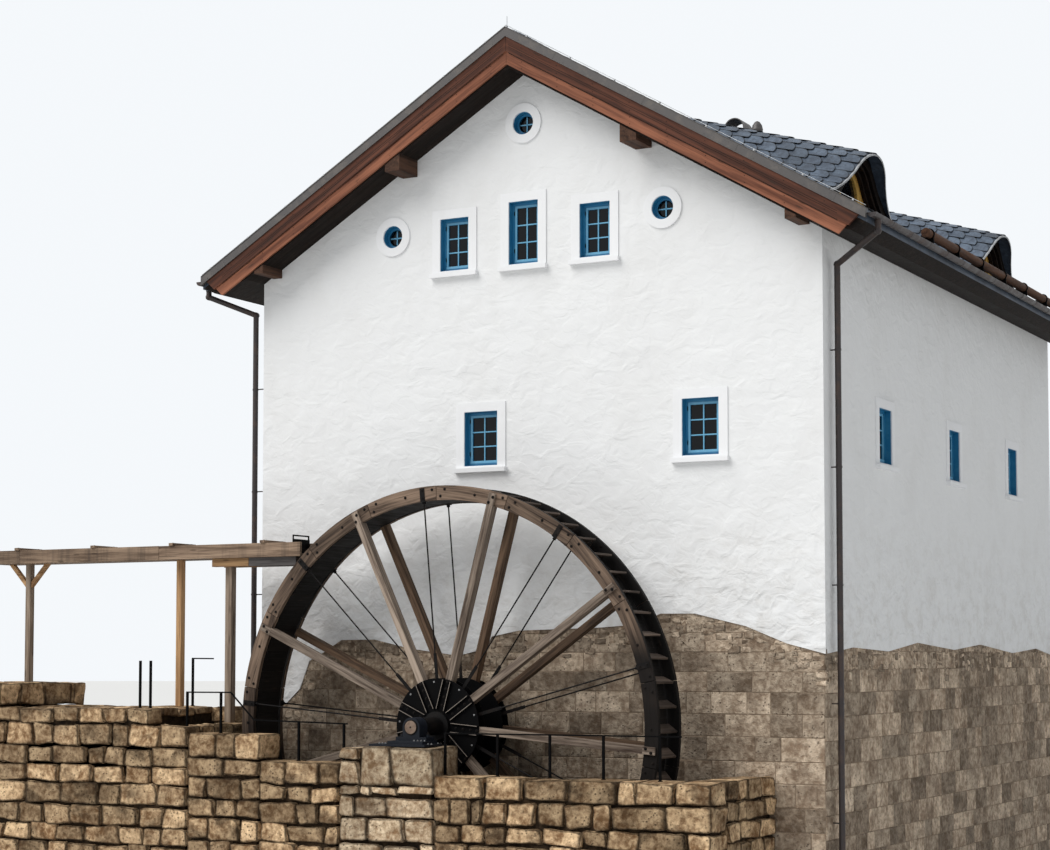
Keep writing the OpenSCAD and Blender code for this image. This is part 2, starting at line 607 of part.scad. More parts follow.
// square timbers, halved at the outer end to take the rim
module arm_set() for (i = [0:arms - 1]) rotate([0, 0, arm_phase + i * sector]) difference() {
  translate([301, -arm_w / 2, 0]) cube([wheel_r - 35 - 301, arm_w, arm_t]);
  translate([rim_in - 2, -arm_w / 2 - 1, -1]) cube([rim_d + 2, arm_w + 2, arm_t - halving + 1]);
}
module arms_front() color([0.5, 0.43, 0.36]) wheel_at(wheel_front + arm_t) arm_set();
module arms_back() color([0.36, 0.29, 0.23]) translate([0, wheel_front + wheel_back, 0])
  mirror([0, 1, 0]) wheel_at(wheel_front + arm_t) arm_set();
module rim() difference() {
  cylinder(h = rim_t, r = wheel_r);
  translate([0, 0, -1]) cylinder(h = rim_t + 2, r = rim_in);
}
module rim_front() color([0.36, 0.27, 0.21]) wheel_at(rim_y0 + rim_t) rim();
module rim_back() color([0.3, 0.23, 0.18]) wheel_at(rim_y1) rim();
module sole_boards() color([0.17, 0.13, 0.11]) wheel_at(rim_y1 - rim_t) difference() {
  cylinder(h = rim_y1 - rim_y0 - 2 * rim_t, r = rim_in + 45);
  translate([0, 0, -1]) cylinder(h = rim_y1 - rim_y0, r = rim_in + 5);
}
// each bucket is one raked board let in between the rims
module bucket_boards() color([0.26, 0.2, 0.16]) wheel_at(rim_y1 - rim_t) for (i = [0:buckets - 1])
  rotate([0, 0, arm_phase + i * 360 / buckets]) translate([rim_in + 48, 0, 0])
    rotate([0, 0, -bucket_rake]) cube([(rim_d - 82) / cos(bucket_rake), 34, rim_y1 - rim_y0 - 2 * rim_t]);
// a round rod midway between two arms, held by a flat eye on the disc and a strap on the rim
rod_eye = 420;
module rod_set() for (i = [0:arms - 1]) rotate([0, 0, arm_phase + (i + 0.5) * sector]) {
  translate([hub_r + rod_eye - 60, 0, rim_t / 2]) rotate([0, 90, 0])
    cylinder(h = rim_in - 26 - hub_r - rod_eye + 60, r = 13, $fn = 8);
  translate([rim_in - 46, 0, rim_t / 2]) rotate([0, 90, 0]) cylinder(h = 38.8, r = 30, $fn = 6);
  translate([hub_r - 100, -28, rim_t / 2 - 7]) cube([rod_eye + 100, 56, 14]);
  // the pin that holds the eye between the discs
  translate([hub_r - 65, 0, halving + rim_t - arm_t]) cylinder(h = arm_t, r = 14, $fn = 8);
}
module tie_rods() color([0.12, 0.11, 0.11]) {
  wheel_at(rim_y0 + rim_t) rod_set();
  translate([0, rim_y0 + rim_y1, 0]) mirror([0, 1, 0]) wheel_at(rim_y0 + rim_t) rod_set();
}
module strap_set() for (i = [0:arms - 1]) rotate([0, 0, arm_phase + (i + 0.5) * sector]) {
  translate([rim_in - 6, -45, -10]) cube([rim_d - 14, 90, 10]);
  translate([rim_in - 7, -45, -10]) cube([6, 90, rim_t + 10]);
}
module rim_straps() color([0.15, 0.14, 0.14]) {
  translate([0, 2 * rim_y0, 0]) mirror([0, 1, 0]) wheel_at(rim_y0) strap_set();
  wheel_at(rim_y1) strap_set();
}

// the origin is the middle of the house's footprint, on the underside of its base floor
module on_datum() translate([0, -house_depth / 2, 0]) children();

on_datum() front_wall();
on_datum() rear_wall();
on_datum() left_wall();
on_datum() right_wall();
on_datum() plaster_coat();
on_datum() base_floor();
on_datum() first_floor();
on_datum() upper_floor();
on_datum() roof_left();
on_datum() roof_right();
on_datum() soffit_left();
on_datum() soffit_right();
on_datum() purlins();
on_datum() barge_boards();
on_datum() verge_flashing();
on_datum() ridge_cap();
on_datum() gutters();
on_datum() downpipes();
on_datum() dormer_roofs();
on_datum() dormer_frames();
on_datum() dormer_glass();
on_datum() snow_guard_logs();
on_datum() snow_guard_brackets();
on_datum() roof_vents();
on_datum() window_surrounds();
on_datum() window_sills();
on_datum() window_frames();
on_datum() window_glass();
on_datum() rear_door();
on_datum() pit_wall_left();
on_datum() pit_wall_right();
on_datum() bearing_pier();
on_datum() flume_abutment();
on_datum() flume_trough();
on_datum() flume_posts();
on_datum() flume_gate();
on_datum() bearing_base();
on_datum() bearing_housing();
on_datum() wall_bearing();
on_datum() pit_railing_right();
on_datum() pit_railing_left();
on_datum() wheel_shaft();
on_datum() hub_plates();
on_datum() arms_front();
on_datum() arms_back();
on_datum() rim_front();
on_datum() rim_back();
on_datum() sole_boards();
on_datum() bucket_boards();
on_datum() tie_rods();
on_datum() rim_straps();
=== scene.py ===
# %% [markdown]
# # A watermill
# The object is a white mill house with a big waterwheel on its gable. The wheel stands in a stone pit,
# its shaft runs in a bearing on a stone pier, and a timber flume on posts brings the water.
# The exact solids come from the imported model, in metres. This lesson dresses them: it lays slates and
# stones, cuts timbers with their own grain, adds glazing bars, bolts and nails, and mixes the finishes.

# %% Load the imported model
import math
import random
import bmesh
import bpy
from itertools import pairwise
from mathutils import Matrix, Vector, noise
from mathutils.bvhtree import BVHTree


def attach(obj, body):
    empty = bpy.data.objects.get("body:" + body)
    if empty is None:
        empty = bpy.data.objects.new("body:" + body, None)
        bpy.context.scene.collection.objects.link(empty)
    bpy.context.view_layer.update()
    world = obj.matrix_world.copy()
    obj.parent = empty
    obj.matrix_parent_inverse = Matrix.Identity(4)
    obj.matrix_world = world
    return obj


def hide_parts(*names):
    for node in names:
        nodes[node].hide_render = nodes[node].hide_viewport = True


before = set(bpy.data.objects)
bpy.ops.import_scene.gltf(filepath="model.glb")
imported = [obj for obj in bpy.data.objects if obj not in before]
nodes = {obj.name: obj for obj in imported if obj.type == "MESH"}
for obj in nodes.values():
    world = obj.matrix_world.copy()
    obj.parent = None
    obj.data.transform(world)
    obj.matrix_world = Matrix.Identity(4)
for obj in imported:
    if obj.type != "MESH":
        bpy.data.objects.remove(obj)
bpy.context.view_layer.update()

# both kinds of chance start from a fixed number, so that every run gives the same stones
chance = random.Random(11)
noise.seed_set(11)

# %% [markdown]
# ## Sizes
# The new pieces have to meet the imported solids. So the main sizes are measured on the solids, to the
# millimetre, and what no solid shows is written as a number in the cell that needs it. X runs along the
# gable, Y back into the house, and Z up from the floor of the wheel pit.

# %% Main sizes
def corners(name):
    """The low and the high corner of a solid."""
    spots = [vert.co for vert in nodes[name].data.vertices]
    return [[round(pick(spot[i] for spot in spots), 3) for i in range(3)] for pick in (min, max)]


coat_x, coat_y, _ = corners("plaster_coat")[1]
stone_x, stone_y, _ = corners("rear_wall")[1]
eaves_x, _, ridge_height = corners("roof_right")[1]
pitch = math.radians(30.5)
fall = math.tan(pitch)
shaft_low, shaft_high = corners("wheel_shaft")
axle_x = (shaft_low[0] + shaft_high[0]) / 2
axle_z = (shaft_low[2] + shaft_high[2]) / 2
print("plaster", coat_x, coat_y, "stone", stone_x, stone_y, "ridge", ridge_height, "axle", axle_x, axle_z)

# %% [markdown]
# ## Camera and light
# A photographer who wants upright walls keeps the camera nearly level and shifts the lens. A large shift
# would push the object out of every other view, so a small upward tilt takes half of the work.
# Soft daylight is one broad sun lamp and a pale sky. Both stay at a plain level, so that a colour comes
# out about as it is written.

# %% Camera
eye = bpy.data.cameras.new("eye")
eye.sensor_width = 36.0
eye.lens = 72.88
eye.shift_y = 0.10
eye.clip_end = 500.0
camera = bpy.data.objects.new("eye", eye)
camera.location = (17.329, -39.058, 5.233)
camera.rotation_euler = (math.radians(90 + 3.467), 0, math.radians(28.355))
bpy.context.scene.collection.objects.link(camera)
bpy.context.scene.camera = camera
bpy.context.scene.view_settings.view_transform = "Standard"
print("camera", [round(v, 2) for v in camera.location])

# %% A helper that adds a shader node
def plug(tree, socket, value):
    """A socket takes the output of another node, or a plain value."""
    if isinstance(value, bpy.types.NodeSocket):
        tree.links.new(value, socket)
    else:
        socket.default_value = value


def add(tree, kind, inputs=None, **settings):
    made = tree.nodes.new(kind)
    for name, value in settings.items():
        setattr(made, name, value)
    for name, value in (inputs or {}).items():
        plug(tree, made.inputs[name], value)
    return made

# %% Sky and sun
sky_light, sky_shown = 0.42, 0.97
sun_light, sun_spread = 2.62, math.radians(48)
sun_way = Vector((0.42, 0.52, -0.74))


def light_the_scene():
    sky = bpy.data.worlds.new("sky")
    bpy.context.scene.world = sky
    sky.use_nodes = True
    tree = sky.node_tree
    tree.nodes.clear()
    # the camera, metal and glass see a nearly white sky, which lights the scene less than it shows
    ray = add(tree, "ShaderNodeLightPath").outputs
    seen = add(tree, "ShaderNodeMath", {0: ray["Is Camera Ray"], 1: ray["Is Glossy Ray"]},
               operation="MAXIMUM")
    seen = add(tree, "ShaderNodeMath", {0: seen.outputs[0], 1: ray["Is Transmission Ray"]},
               operation="MAXIMUM")
    level = add(tree, "ShaderNodeMapRange",
                {"Value": seen.outputs[0], "To Min": sky_light, "To Max": sky_shown})
    shade = add(tree, "ShaderNodeBackground", {"Color": (0.94, 0.97, 1.0, 1), "Strength": level.outputs[0]})
    out = add(tree, "ShaderNodeOutputWorld")
    tree.links.new(shade.outputs[0], out.inputs["Surface"])
    lamp = bpy.data.lights.new("daylight", "SUN")
    lamp.energy = sun_light
    lamp.angle = sun_spread
    lamp.color = (1.0, 0.985, 0.96)
    sun = bpy.data.objects.new("daylight", lamp)
    sun.rotation_euler = sun_way.to_track_quat("-Z", "Y").to_euler()
    bpy.context.scene.collection.objects.link(sun)
    print("sun", lamp.energy)


light_the_scene()

# %% [markdown]
# ## Shared effects
# A finish is a few effects on top of each other. The effects that several finishes share are node
# groups, with named inputs: the grain of timber, the grain of stone, the marks of a trowel in lime
# plaster, rain streaks, and metal that has weathered.

# %% Small helpers for node trees
def group(name, inputs, outputs):
    tree = bpy.data.node_groups.new(name, "ShaderNodeTree")
    for label, kind, value in inputs:
        socket = tree.interface.new_socket(label, in_out="INPUT", socket_type="NodeSocket" + kind)
        if value is not None:
            socket.default_value = value
    for label, kind in outputs:
        tree.interface.new_socket(label, in_out="OUTPUT", socket_type="NodeSocket" + kind)
    return tree, tree.nodes.new("NodeGroupInput").outputs, tree.nodes.new("NodeGroupOutput").inputs


def scaled(tree, place, factors):
    return add(tree, "ShaderNodeVectorMath", {0: place, 1: factors}, operation="MULTIPLY").outputs[0]


def cloud(tree, place, factors=(1, 1, 1), detail=3.0, rough=0.5, bend=0.0):
    return add(tree, "ShaderNodeTexNoise", {
        "Vector": scaled(tree, place, factors), "Scale": 1.0, "Detail": detail, "Roughness": rough,
        "Distortion": bend}).outputs["Fac"]


def spread(tree, value, low, high, to_low=0.0, to_high=1.0):
    return add(tree, "ShaderNodeMapRange", {
        "Value": value, "From Min": low, "From Max": high, "To Min": to_low, "To Max": to_high},
        interpolation_type="SMOOTHSTEP").outputs[0]


def calc(tree, operation, a, b=0.0):
    return add(tree, "ShaderNodeMath", {0: a, 1: b}, operation=operation).outputs[0]


def times(tree, a, b):
    return calc(tree, "MULTIPLY", a, b)


def weighed(tree, *parts):
    """The sum of some values, each times its weight."""
    total = None
    for value, weight in parts:
        part = times(tree, value, weight)
        total = part if total is None else calc(tree, "ADD", total, part)
    return total


def mixed(tree, factor, a, b, way="MIX"):
    return add(tree, "ShaderNodeMix", {0: factor, 6: a, 7: b}, data_type="RGBA", blend_type=way).outputs[2]


def axes_of(tree, place):
    """X, Y and Z of a place, as three outputs."""
    return add(tree, "ShaderNodeSeparateXYZ", {0: place}).outputs


def paint(red, green, blue):
    """A colour as it is read off a screen, 0 to 255, made linear."""
    def linear(v):
        v /= 255
        return v / 12.92 if v <= 0.04045 else ((v + 0.055) / 1.055) ** 2.4
    return (linear(red), linear(green), linear(blue), 1.0)


print("helpers ready")

# %% Timber grain
# The grain runs along the X axis of Place.
def timber_group():
    tree, gin, gout = group("timber_grain", [
        ("Place", "Vector", None), ("Light", "Color", (0.4, 0.3, 0.2, 1)),
        ("Dark", "Color", (0.1, 0.07, 0.05, 1)), ("Age", "Float", 0.5)],
        [("Color", "Color"), ("Roughness", "Float"), ("Height", "Float")])
    place = gin["Place"]
    fibre = cloud(tree, place, (1.6, 34, 34), 5, 0.65, 0.3)
    band = cloud(tree, place, (0.5, 9, 9), 3, 0.5, 0.8)
    check = spread(tree, cloud(tree, place, (0.9, 46, 46), 3, 0.55), 0.62, 0.72)
    check = times(tree, check, gin["Age"])
    knot = add(tree, "ShaderNodeTexVoronoi", {"Vector": scaled(tree, place, (1.5, 9, 9)), "Scale": 1.0})
    knot = spread(tree, knot.outputs["Distance"], 0.17, 0.06)
    tone = spread(tree, weighed(tree, (fibre, 0.55), (band, 0.65)), 0.38, 0.82)
    colour = mixed(tree, tone, gin["Dark"], gin["Light"])
    colour = mixed(tree, times(tree, check, 0.8), colour, (0.012, 0.009, 0.007, 1))
    colour = mixed(tree, times(tree, knot, 0.6), colour, (0.03, 0.02, 0.014, 1))
    tree.links.new(colour, gout["Color"])
    tree.links.new(spread(tree, fibre, 0.3, 0.7, 0.62, 0.85), gout["Roughness"])
    tree.links.new(calc(tree, "SUBTRACT", times(tree, fibre, 0.5), check), gout["Height"])
    return tree


timber_grain = timber_group()

# %% Stone grain
def stone_group():
    tree, gin, gout = group("stone_grain", [
        ("Place", "Vector", None), ("Light", "Color", (0.6, 0.5, 0.35, 1)),
        ("Dark", "Color", (0.2, 0.15, 0.1, 1)), ("Stain", "Color", (0.05, 0.045, 0.04, 1)),
        ("Staining", "Float", 0.4)],
        [("Color", "Color"), ("Height", "Float")])
    place = gin["Place"]
    patch = cloud(tree, place, (2.3,) * 3, 5, 0.6, 0.4)
    rough = cloud(tree, place, (11,) * 3, 7, 0.62, 0.2)
    grit = cloud(tree, place, (70,) * 3, 3, 0.5)
    pit = add(tree, "ShaderNodeTexVoronoi", {"Vector": scaled(tree, place, (17,) * 3), "Scale": 1.0})
    pit = spread(tree, pit.outputs["Distance"], 0.32, 0.12)
    pit = times(tree, pit, spread(tree, patch, 0.48, 0.6))
    tone = weighed(tree, (patch, 0.5), (rough, 0.5))
    colour = mixed(tree, spread(tree, tone, 0.36, 0.66), gin["Dark"], gin["Light"])
    stain = spread(tree, cloud(tree, place, (1.1, 1.1, 1.6), 5, 0.6, 0.5), 0.46, 0.68)
    colour = mixed(tree, times(tree, stain, gin["Staining"]), colour, gin["Stain"])
    colour = mixed(tree, times(tree, pit, 0.6), colour, gin["Stain"])
    tree.links.new(colour, gout["Color"])
    tree.links.new(weighed(tree, (rough, 1.0), (grit, 0.12), (pit, -0.5)), gout["Height"])
    return tree


stone_grain = stone_group()

# %% Trowel marks and rain streaks
def lime_group():
    tree, gin, gout = group("trowelled_lime", [
        ("Place", "Vector", None), ("White", "Color", (0.8, 0.8, 0.8, 1)),
        ("Grime", "Color", (0.45, 0.43, 0.4, 1)), ("Grime Level", "Float", 0.2)],
        [("Color", "Color"), ("Height", "Float")])
    place = gin["Place"]
    # long soft strokes lie over slow waves; a fine sand shows only close by
    wave = cloud(tree, place, (1.1, 1.1, 1.5), 2, 0.4, 0.3)
    stroke = cloud(tree, place, (3.0, 3.0, 4.2), 3, 0.45, 0.9)
    ridge = spread(tree, cloud(tree, place, (2.4, 2.4, 3.4), 2, 0.4, 1.2), 0.53, 0.62)
    scuff = cloud(tree, place, (8, 8, 10), 4, 0.55, 0.7)
    scuffed = spread(tree, cloud(tree, place, (0.9, 0.9, 1.1), 2, 0.5), 0.5, 0.62)
    scuff = times(tree, scuff, scuffed)
    sand = cloud(tree, place, (60,) * 3, 2, 0.5)
    height = weighed(tree, (wave, 0.8), (stroke, 0.5), (ridge, 0.06), (scuff, 0.16), (sand, 0.02))
    tree.links.new(height, gout["Height"])
    dirt = spread(tree, cloud(tree, place, (0.9, 0.9, 0.5), 6, 0.62, 0.3), 0.45, 0.75)
    colour = mixed(tree, times(tree, dirt, gin["Grime Level"]), gin["White"], gin["Grime"])
    tree.links.new(colour, gout["Color"])
    return tree


def streak_group():
    tree, gin, gout = group("rain_streaks", [("Place", "Vector", None)], [("Streak", "Float")])
    run = cloud(tree, gin["Place"], (7, 7, 0.35), 5, 0.6, 0.2)
    tree.links.new(spread(tree, run, 0.46, 0.74), gout["Streak"])
    return tree


trowelled_lime = lime_group()
rain_streaks = streak_group()

# %% Weathered metal
def metal_group():
    tree, gin, gout = group("weathered_metal", [
        ("Place", "Vector", None), ("Fresh", "Color", (0.05, 0.05, 0.05, 1)),
        ("Worn", "Color", (0.2, 0.15, 0.1, 1)), ("Wear", "Float", 0.4)],
        [("Color", "Color"), ("Roughness", "Float"), ("Height", "Float")])
    place = gin["Place"]
    patch = cloud(tree, place, (4.5,) * 3, 6, 0.65, 0.3)
    speck = cloud(tree, place, (60,) * 3, 4, 0.6)
    worn = times(tree, spread(tree, patch, 0.45, 0.68), gin["Wear"])
    tree.links.new(mixed(tree, worn, gin["Fresh"], gin["Worn"]), gout["Color"])
    tree.links.new(spread(tree, patch, 0.3, 0.7, 0.38, 0.68), gout["Roughness"])
    tree.links.new(weighed(tree, (speck, 0.4), (patch, 1.0)), gout["Height"])
    return tree


weathered_metal = metal_group()
print("groups:", [g.name for g in bpy.data.node_groups])

# %% [markdown]
# ## Finishes
# Every finish is one material that places these groups and feeds a Principled shader. Timber needs to
# know which way its grain runs. Boards that are cut in this lesson carry their own coordinates in an
# attribute called grain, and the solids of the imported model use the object's axes instead. An attribute
# called tone makes one board, stone or slate a little lighter or darker than the next.

# %% A new finish
class Finish:
    """A material with its Principled shader and the coordinates it reads."""
    def __init__(self, name, **constants):
        self.material = bpy.data.materials.new(name)
        self.material.use_nodes = True
        self.tree = self.material.node_tree
        self.skin = self.tree.nodes["Principled BSDF"]
        for label, value in constants.items():
            self.skin.inputs[label.replace("_", " ")].default_value = value
        self.place = add(self.tree, "ShaderNodeTexCoord").outputs["Object"]

    def attribute(self, name, output="Fac"):
        return add(self.tree, "ShaderNodeAttribute", attribute_name=name).outputs[output]

    def use(self, shared, **inputs):
        """Places a shared node group and returns its outputs."""
        named = {label.replace("_", " "): value for label, value in inputs.items()}
        return add(self.tree, "ShaderNodeGroup", named, node_tree=shared).outputs

    def feed(self, label, value):
        self.tree.links.new(value, self.skin.inputs[label])

    def bump(self, height, strength, distance):
        made = add(self.tree, "ShaderNodeBump",
                   {"Height": height, "Strength": strength, "Distance": distance})
        self.feed("Normal", made.outputs[0])

    def toned(self, colour, amount):
        """The colour, made lighter or darker by the tone of the board, stone or slate."""
        level = spread(self.tree, self.attribute("tone"), 0.0, 1.0, 1 - amount, 1 + amount)
        grey = add(self.tree, "ShaderNodeCombineColor", {0: level, 1: level, 2: level}).outputs[0]
        return mixed(self.tree, 1.0, colour, grey, "MULTIPLY")

    def streaked(self, colour, amount, dirt):
        """The colour under the dark lines that rain has drawn down the surface."""
        run = self.use(rain_streaks, Place=self.place)["Streak"]
        return mixed(self.tree, times(self.tree, run, amount), colour, dirt)


# %% Timber finishes
def grain_axes(finish, along):
    """The coordinates whose X axis runs with the grain."""
    if along == "grain":
        return finish.attribute("grain", "Vector")
    if along == "slope":
        part = axes_of(finish.tree, finish.place)
        out = calc(finish.tree, "ABSOLUTE", part[0])
        folded = add(finish.tree, "ShaderNodeCombineXYZ", {0: out, 1: part[1], 2: part[2]}).outputs[0]
        return add(finish.tree, "ShaderNodeMapping", {0: folded, 2: (0, -pitch, 0)}).outputs[0]
    turn = {"Y": (0, 0, math.radians(90)), "Z": (0, math.radians(90), 0)}[along]
    return add(finish.tree, "ShaderNodeMapping", {0: finish.place, 2: turn}).outputs[0]


def wet_and_shaded(finish, amount):
    """Wet wood low down, and on the side where the buckets empty both the wet and a painted shade, for the
    shadow of the building beside the wheel.
    """
    tree, part = finish.tree, axes_of(finish.tree, finish.place)
    dry_lit_x, wet_shaded_x = 1.2, 2.6
    side_dry_lit, side_wet_shaded, foot_dry, foot_wet = 6.0, 5.2, 4.8, 3.0
    side = times(tree, spread(tree, part[0], dry_lit_x, wet_shaded_x), spread(tree, part[2], side_dry_lit, side_wet_shaded))
    foot = times(tree, spread(tree, part[2], foot_dry, foot_wet), 0.8)
    patchy = spread(tree, cloud(tree, finish.place, (1.6,) * 3, 4, 0.6), 0.2, 0.5, 0.9, 0.99)
    return times(tree, times(tree, calc(tree, "MAXIMUM", side, foot), amount), patchy)


def below_roof(finish, depth):
    """1 further than depth, measured plumb, under the top edge of the roof."""
    tree, part = finish.tree, axes_of(finish.tree, finish.place)
    drop = calc(tree, "SUBTRACT", part[2], ridge_height)
    drop = calc(tree, "ADD", drop, times(tree, calc(tree, "ABSOLUTE", part[0]), fall))
    return spread(tree, drop, 0.002 - depth, -0.002 - depth)


def timber(name, light, dark, age=0.5, along="grain", amount=0.25, streak=0.0, gloss=0.15, wet_and_shade=0.0,
           lower=None):
    """along is grain for cut boards, and Y, Z or slope for a solid. lower holds a lower board's colours."""
    finish = Finish(name, Specular_IOR_Level=gloss)
    place = grain_axes(finish, along)
    grain = finish.use(timber_grain, Place=place, Light=light, Dark=dark, Age=age)
    colour = grain["Color"]
    if along == "grain":
        colour = finish.toned(colour, amount)
    if streak:
        colour = finish.streaked(colour, streak, paint(58, 52, 48))
    if lower:
        fresh = finish.use(timber_grain, Place=place, Light=lower[0], Dark=lower[1], Age=0.5)
        colour = mixed(finish.tree, below_roof(finish, 0.4), colour, fresh["Color"])
    # the wheel is darkened for wet low down, and on the side where the buckets empty also by painted shade
    if wet_and_shade:
        colour = mixed(finish.tree, wet_and_shaded(finish, wet_and_shade), colour, paint(20, 16, 14))
    finish.feed("Base Color", colour)
    finish.feed("Roughness", grain["Roughness"])
    finish.bump(grain["Height"], 0.5, 0.004)
    return finish.material


arm_timber = timber("arm_timber", paint(168, 152, 137), paint(60, 46, 38), 0.9, amount=0.2)
back_timber = timber("back_timber", paint(112, 90, 72), paint(40, 30, 24), 0.8, amount=0.25)
rim_timber = timber("rim_timber", paint(132, 112, 96), paint(38, 28, 23), 0.95, amount=0.35, wet_and_shade=1.0)
# painted shade: nearly black, for wet wood and the shade inside the wheel, on the sole and the inner faces of
# the rims
wet_shaded_timber = timber("wet_shaded_timber", paint(24, 20, 18), paint(7, 6, 5), 0.7, amount=0.35, gloss=0.2)
board_timber = timber("board_timber", paint(112, 98, 88), paint(38, 31, 27), 0.7, amount=0.3, gloss=0.2)
trough_timber = timber("trough_timber", paint(155, 133, 113), paint(80, 64, 52), 0.85, streak=0.55)
post_timber = timber("post_timber", paint(196, 158, 116), paint(124, 92, 64), 0.6)
grey_post = timber("grey_post", paint(160, 144, 128), paint(94, 80, 68), 0.7)
iron_grey = timber("iron_grey", paint(122, 118, 116), paint(70, 66, 66), 0.7)
purlin_timber = timber("purlin_timber", paint(92, 66, 52), paint(44, 31, 25), 0.6, "Y")
# the lower of the two barge boards is newer and redder
barge_timber = timber("barge_timber", paint(104, 66, 52), paint(58, 36, 29), 0.5, "slope",
                      lower=(paint(158, 104, 80), paint(92, 56, 43)))
log_timber = timber("log_timber", paint(104, 74, 56), paint(52, 36, 28), 0.6, "Y")
door_timber = timber("door_timber", paint(96, 60, 44), paint(50, 30, 22), 0.5, "grain")
floor_timber = timber("floor_timber", paint(166, 132, 96), paint(110, 80, 54), 0.3, "Y")
# painted shade: the soffits and the dormer shells under the overhangs take nearly black boards
dark_boards = timber("dark_boards", paint(36, 28, 24), paint(15, 12, 10), 0.5, "slope", gloss=0.1)
print("timber finishes ready")

# %% Stone, slate and lime finishes
def stone(name, light, dark, stain, staining=0.4, depth=0.02, amount=0.28, streak=0.0):
    """An amount of 0 is for mortar and floors, which have no stones to tell apart."""
    finish = Finish(name, Roughness=0.92, Specular_IOR_Level=0.1)
    tree, cut = finish.tree, amount > 0
    # cut stones have their own coordinates, so no vein or stain runs on across a joint
    place = finish.attribute("grain", "Vector") if cut else finish.place
    grain = finish.use(stone_grain, Place=place, Light=light, Dark=dark, Stain=stain, Staining=staining)
    colour = finish.toned(grain["Color"], amount) if cut else grain["Color"]
    if streak:
        colour = finish.streaked(colour, streak, paint(60, 54, 48))
    if cut:
        # soot and moss in the hollows along the joints, and a painted shade that stands for the shadow there,
        # darken each stone near its edges
        ragged = times(tree, cloud(tree, finish.place, (6.0,) * 3, 5, 0.6), 0.9)
        dirt = spread(tree, calc(tree, "ADD", finish.attribute("edge"), ragged), 0.85, 1.5)
        colour = mixed(tree, times(tree, dirt, 0.8), colour, paint(46, 36, 27))
    finish.feed("Base Color", colour)
    finish.bump(grain["Height"], 0.9, depth)
    return finish.material


pit_stone = stone("pit_stone", paint(228, 197, 157), paint(113, 84, 57), paint(54, 41, 30), 0.7, 0.07, 0.36)
pier_stone = stone("pier_stone", paint(242, 220, 188), paint(134, 106, 78), paint(70, 54, 40), 0.6, 0.07,
                   0.28)
ashlar_stone = stone("ashlar_stone", paint(214, 196, 174), paint(130, 111, 93), paint(92, 77, 64),
                     0.5, 0.06, 0.34, 0.1)
mortar = stone("mortar", paint(70, 56, 42), paint(28, 22, 17), paint(14, 11, 9), 0.5, 0.02, 0.0)
wall_mortar = stone("wall_mortar", paint(170, 152, 132), paint(122, 106, 90), paint(80, 72, 64),
                    0.3, 0.015, 0.0)
floor_stone = stone("floor_stone", paint(158, 150, 138), paint(112, 104, 94), paint(70, 66, 60),
                    0.3, 0.01, 0.0)


def slate():
    finish = Finish("slate", Specular_IOR_Level=0.3)
    tree = finish.tree
    grain = finish.use(stone_grain, Place=finish.place, Light=paint(99, 112, 128), Dark=paint(59, 68, 81),
                       Stain=paint(46, 52, 62), Staining=0.35)
    # a painted shadow line runs all round each slate
    shadow_line = times(tree, spread(tree, finish.attribute("edge"), 0.1, 0.8), 0.92)
    finish.feed("Base Color", mixed(tree, shadow_line, finish.toned(grain["Color"], 0.3), paint(18, 21, 26)))
    finish.feed("Roughness", spread(tree, grain["Height"], 0.3, 0.8, 0.42, 0.62))
    finish.bump(grain["Height"], 0.4, 0.006)
    return finish.material


def lime(name, white, grime, level, relief, wall=True):
    finish = Finish(name, Roughness=0.86, Specular_IOR_Level=0.22)
    tree = finish.tree
    coat = finish.use(trowelled_lime, Place=finish.place, White=white, Grime=grime, Grime_Level=level)
    colour, relief_height = coat["Color"], coat["Height"]
    if wall:
        # splashes from the wheel and damp from the ground grey the plaster low down, and the lime is
        # thrown on more coarsely where it ends over the stones
        height = axes_of(tree, finish.place)[2]
        mottle = spread(tree, cloud(tree, finish.place, (2.6, 2.6, 3.4), 9, 0.72, 0.3), 0.44, 0.66)
        dull = times(tree, times(tree, spread(tree, height, 8.6, 5.2), mottle), 0.32)
        colour = mixed(tree, dull, colour, grime)
        relief_height = times(tree, relief_height, spread(tree, height, 8.0, 5.4, 1.0, 2.4))
    finish.feed("Base Color", colour)
    finish.bump(relief_height, 0.75, relief)
    return finish.material


slate_finish = slate()
plaster = lime("plaster", paint(236, 237, 238), paint(186, 180, 172), 0.10, 0.05)
trim_plaster = lime("trim_plaster", paint(240, 241, 243), paint(196, 194, 190), 0.12, 0.008, False)
print("stone finishes ready")

# %% Metal, paint and glass finishes
def metal(name, fresh, worn, wear=0.4, metallic=0.0, depth=0.002, gloss=0.5, rough=None):
    finish = Finish(name, Metallic=metallic, Specular_IOR_Level=gloss)
    skin = finish.use(weathered_metal, Place=finish.place, Fresh=fresh, Worn=worn, Wear=wear)
    finish.feed("Base Color", skin["Color"])
    if rough is None:
        finish.feed("Roughness", skin["Roughness"])
    else:
        finish.skin.inputs["Roughness"].default_value = rough
    finish.bump(skin["Height"], 0.35, depth)
    return finish.material


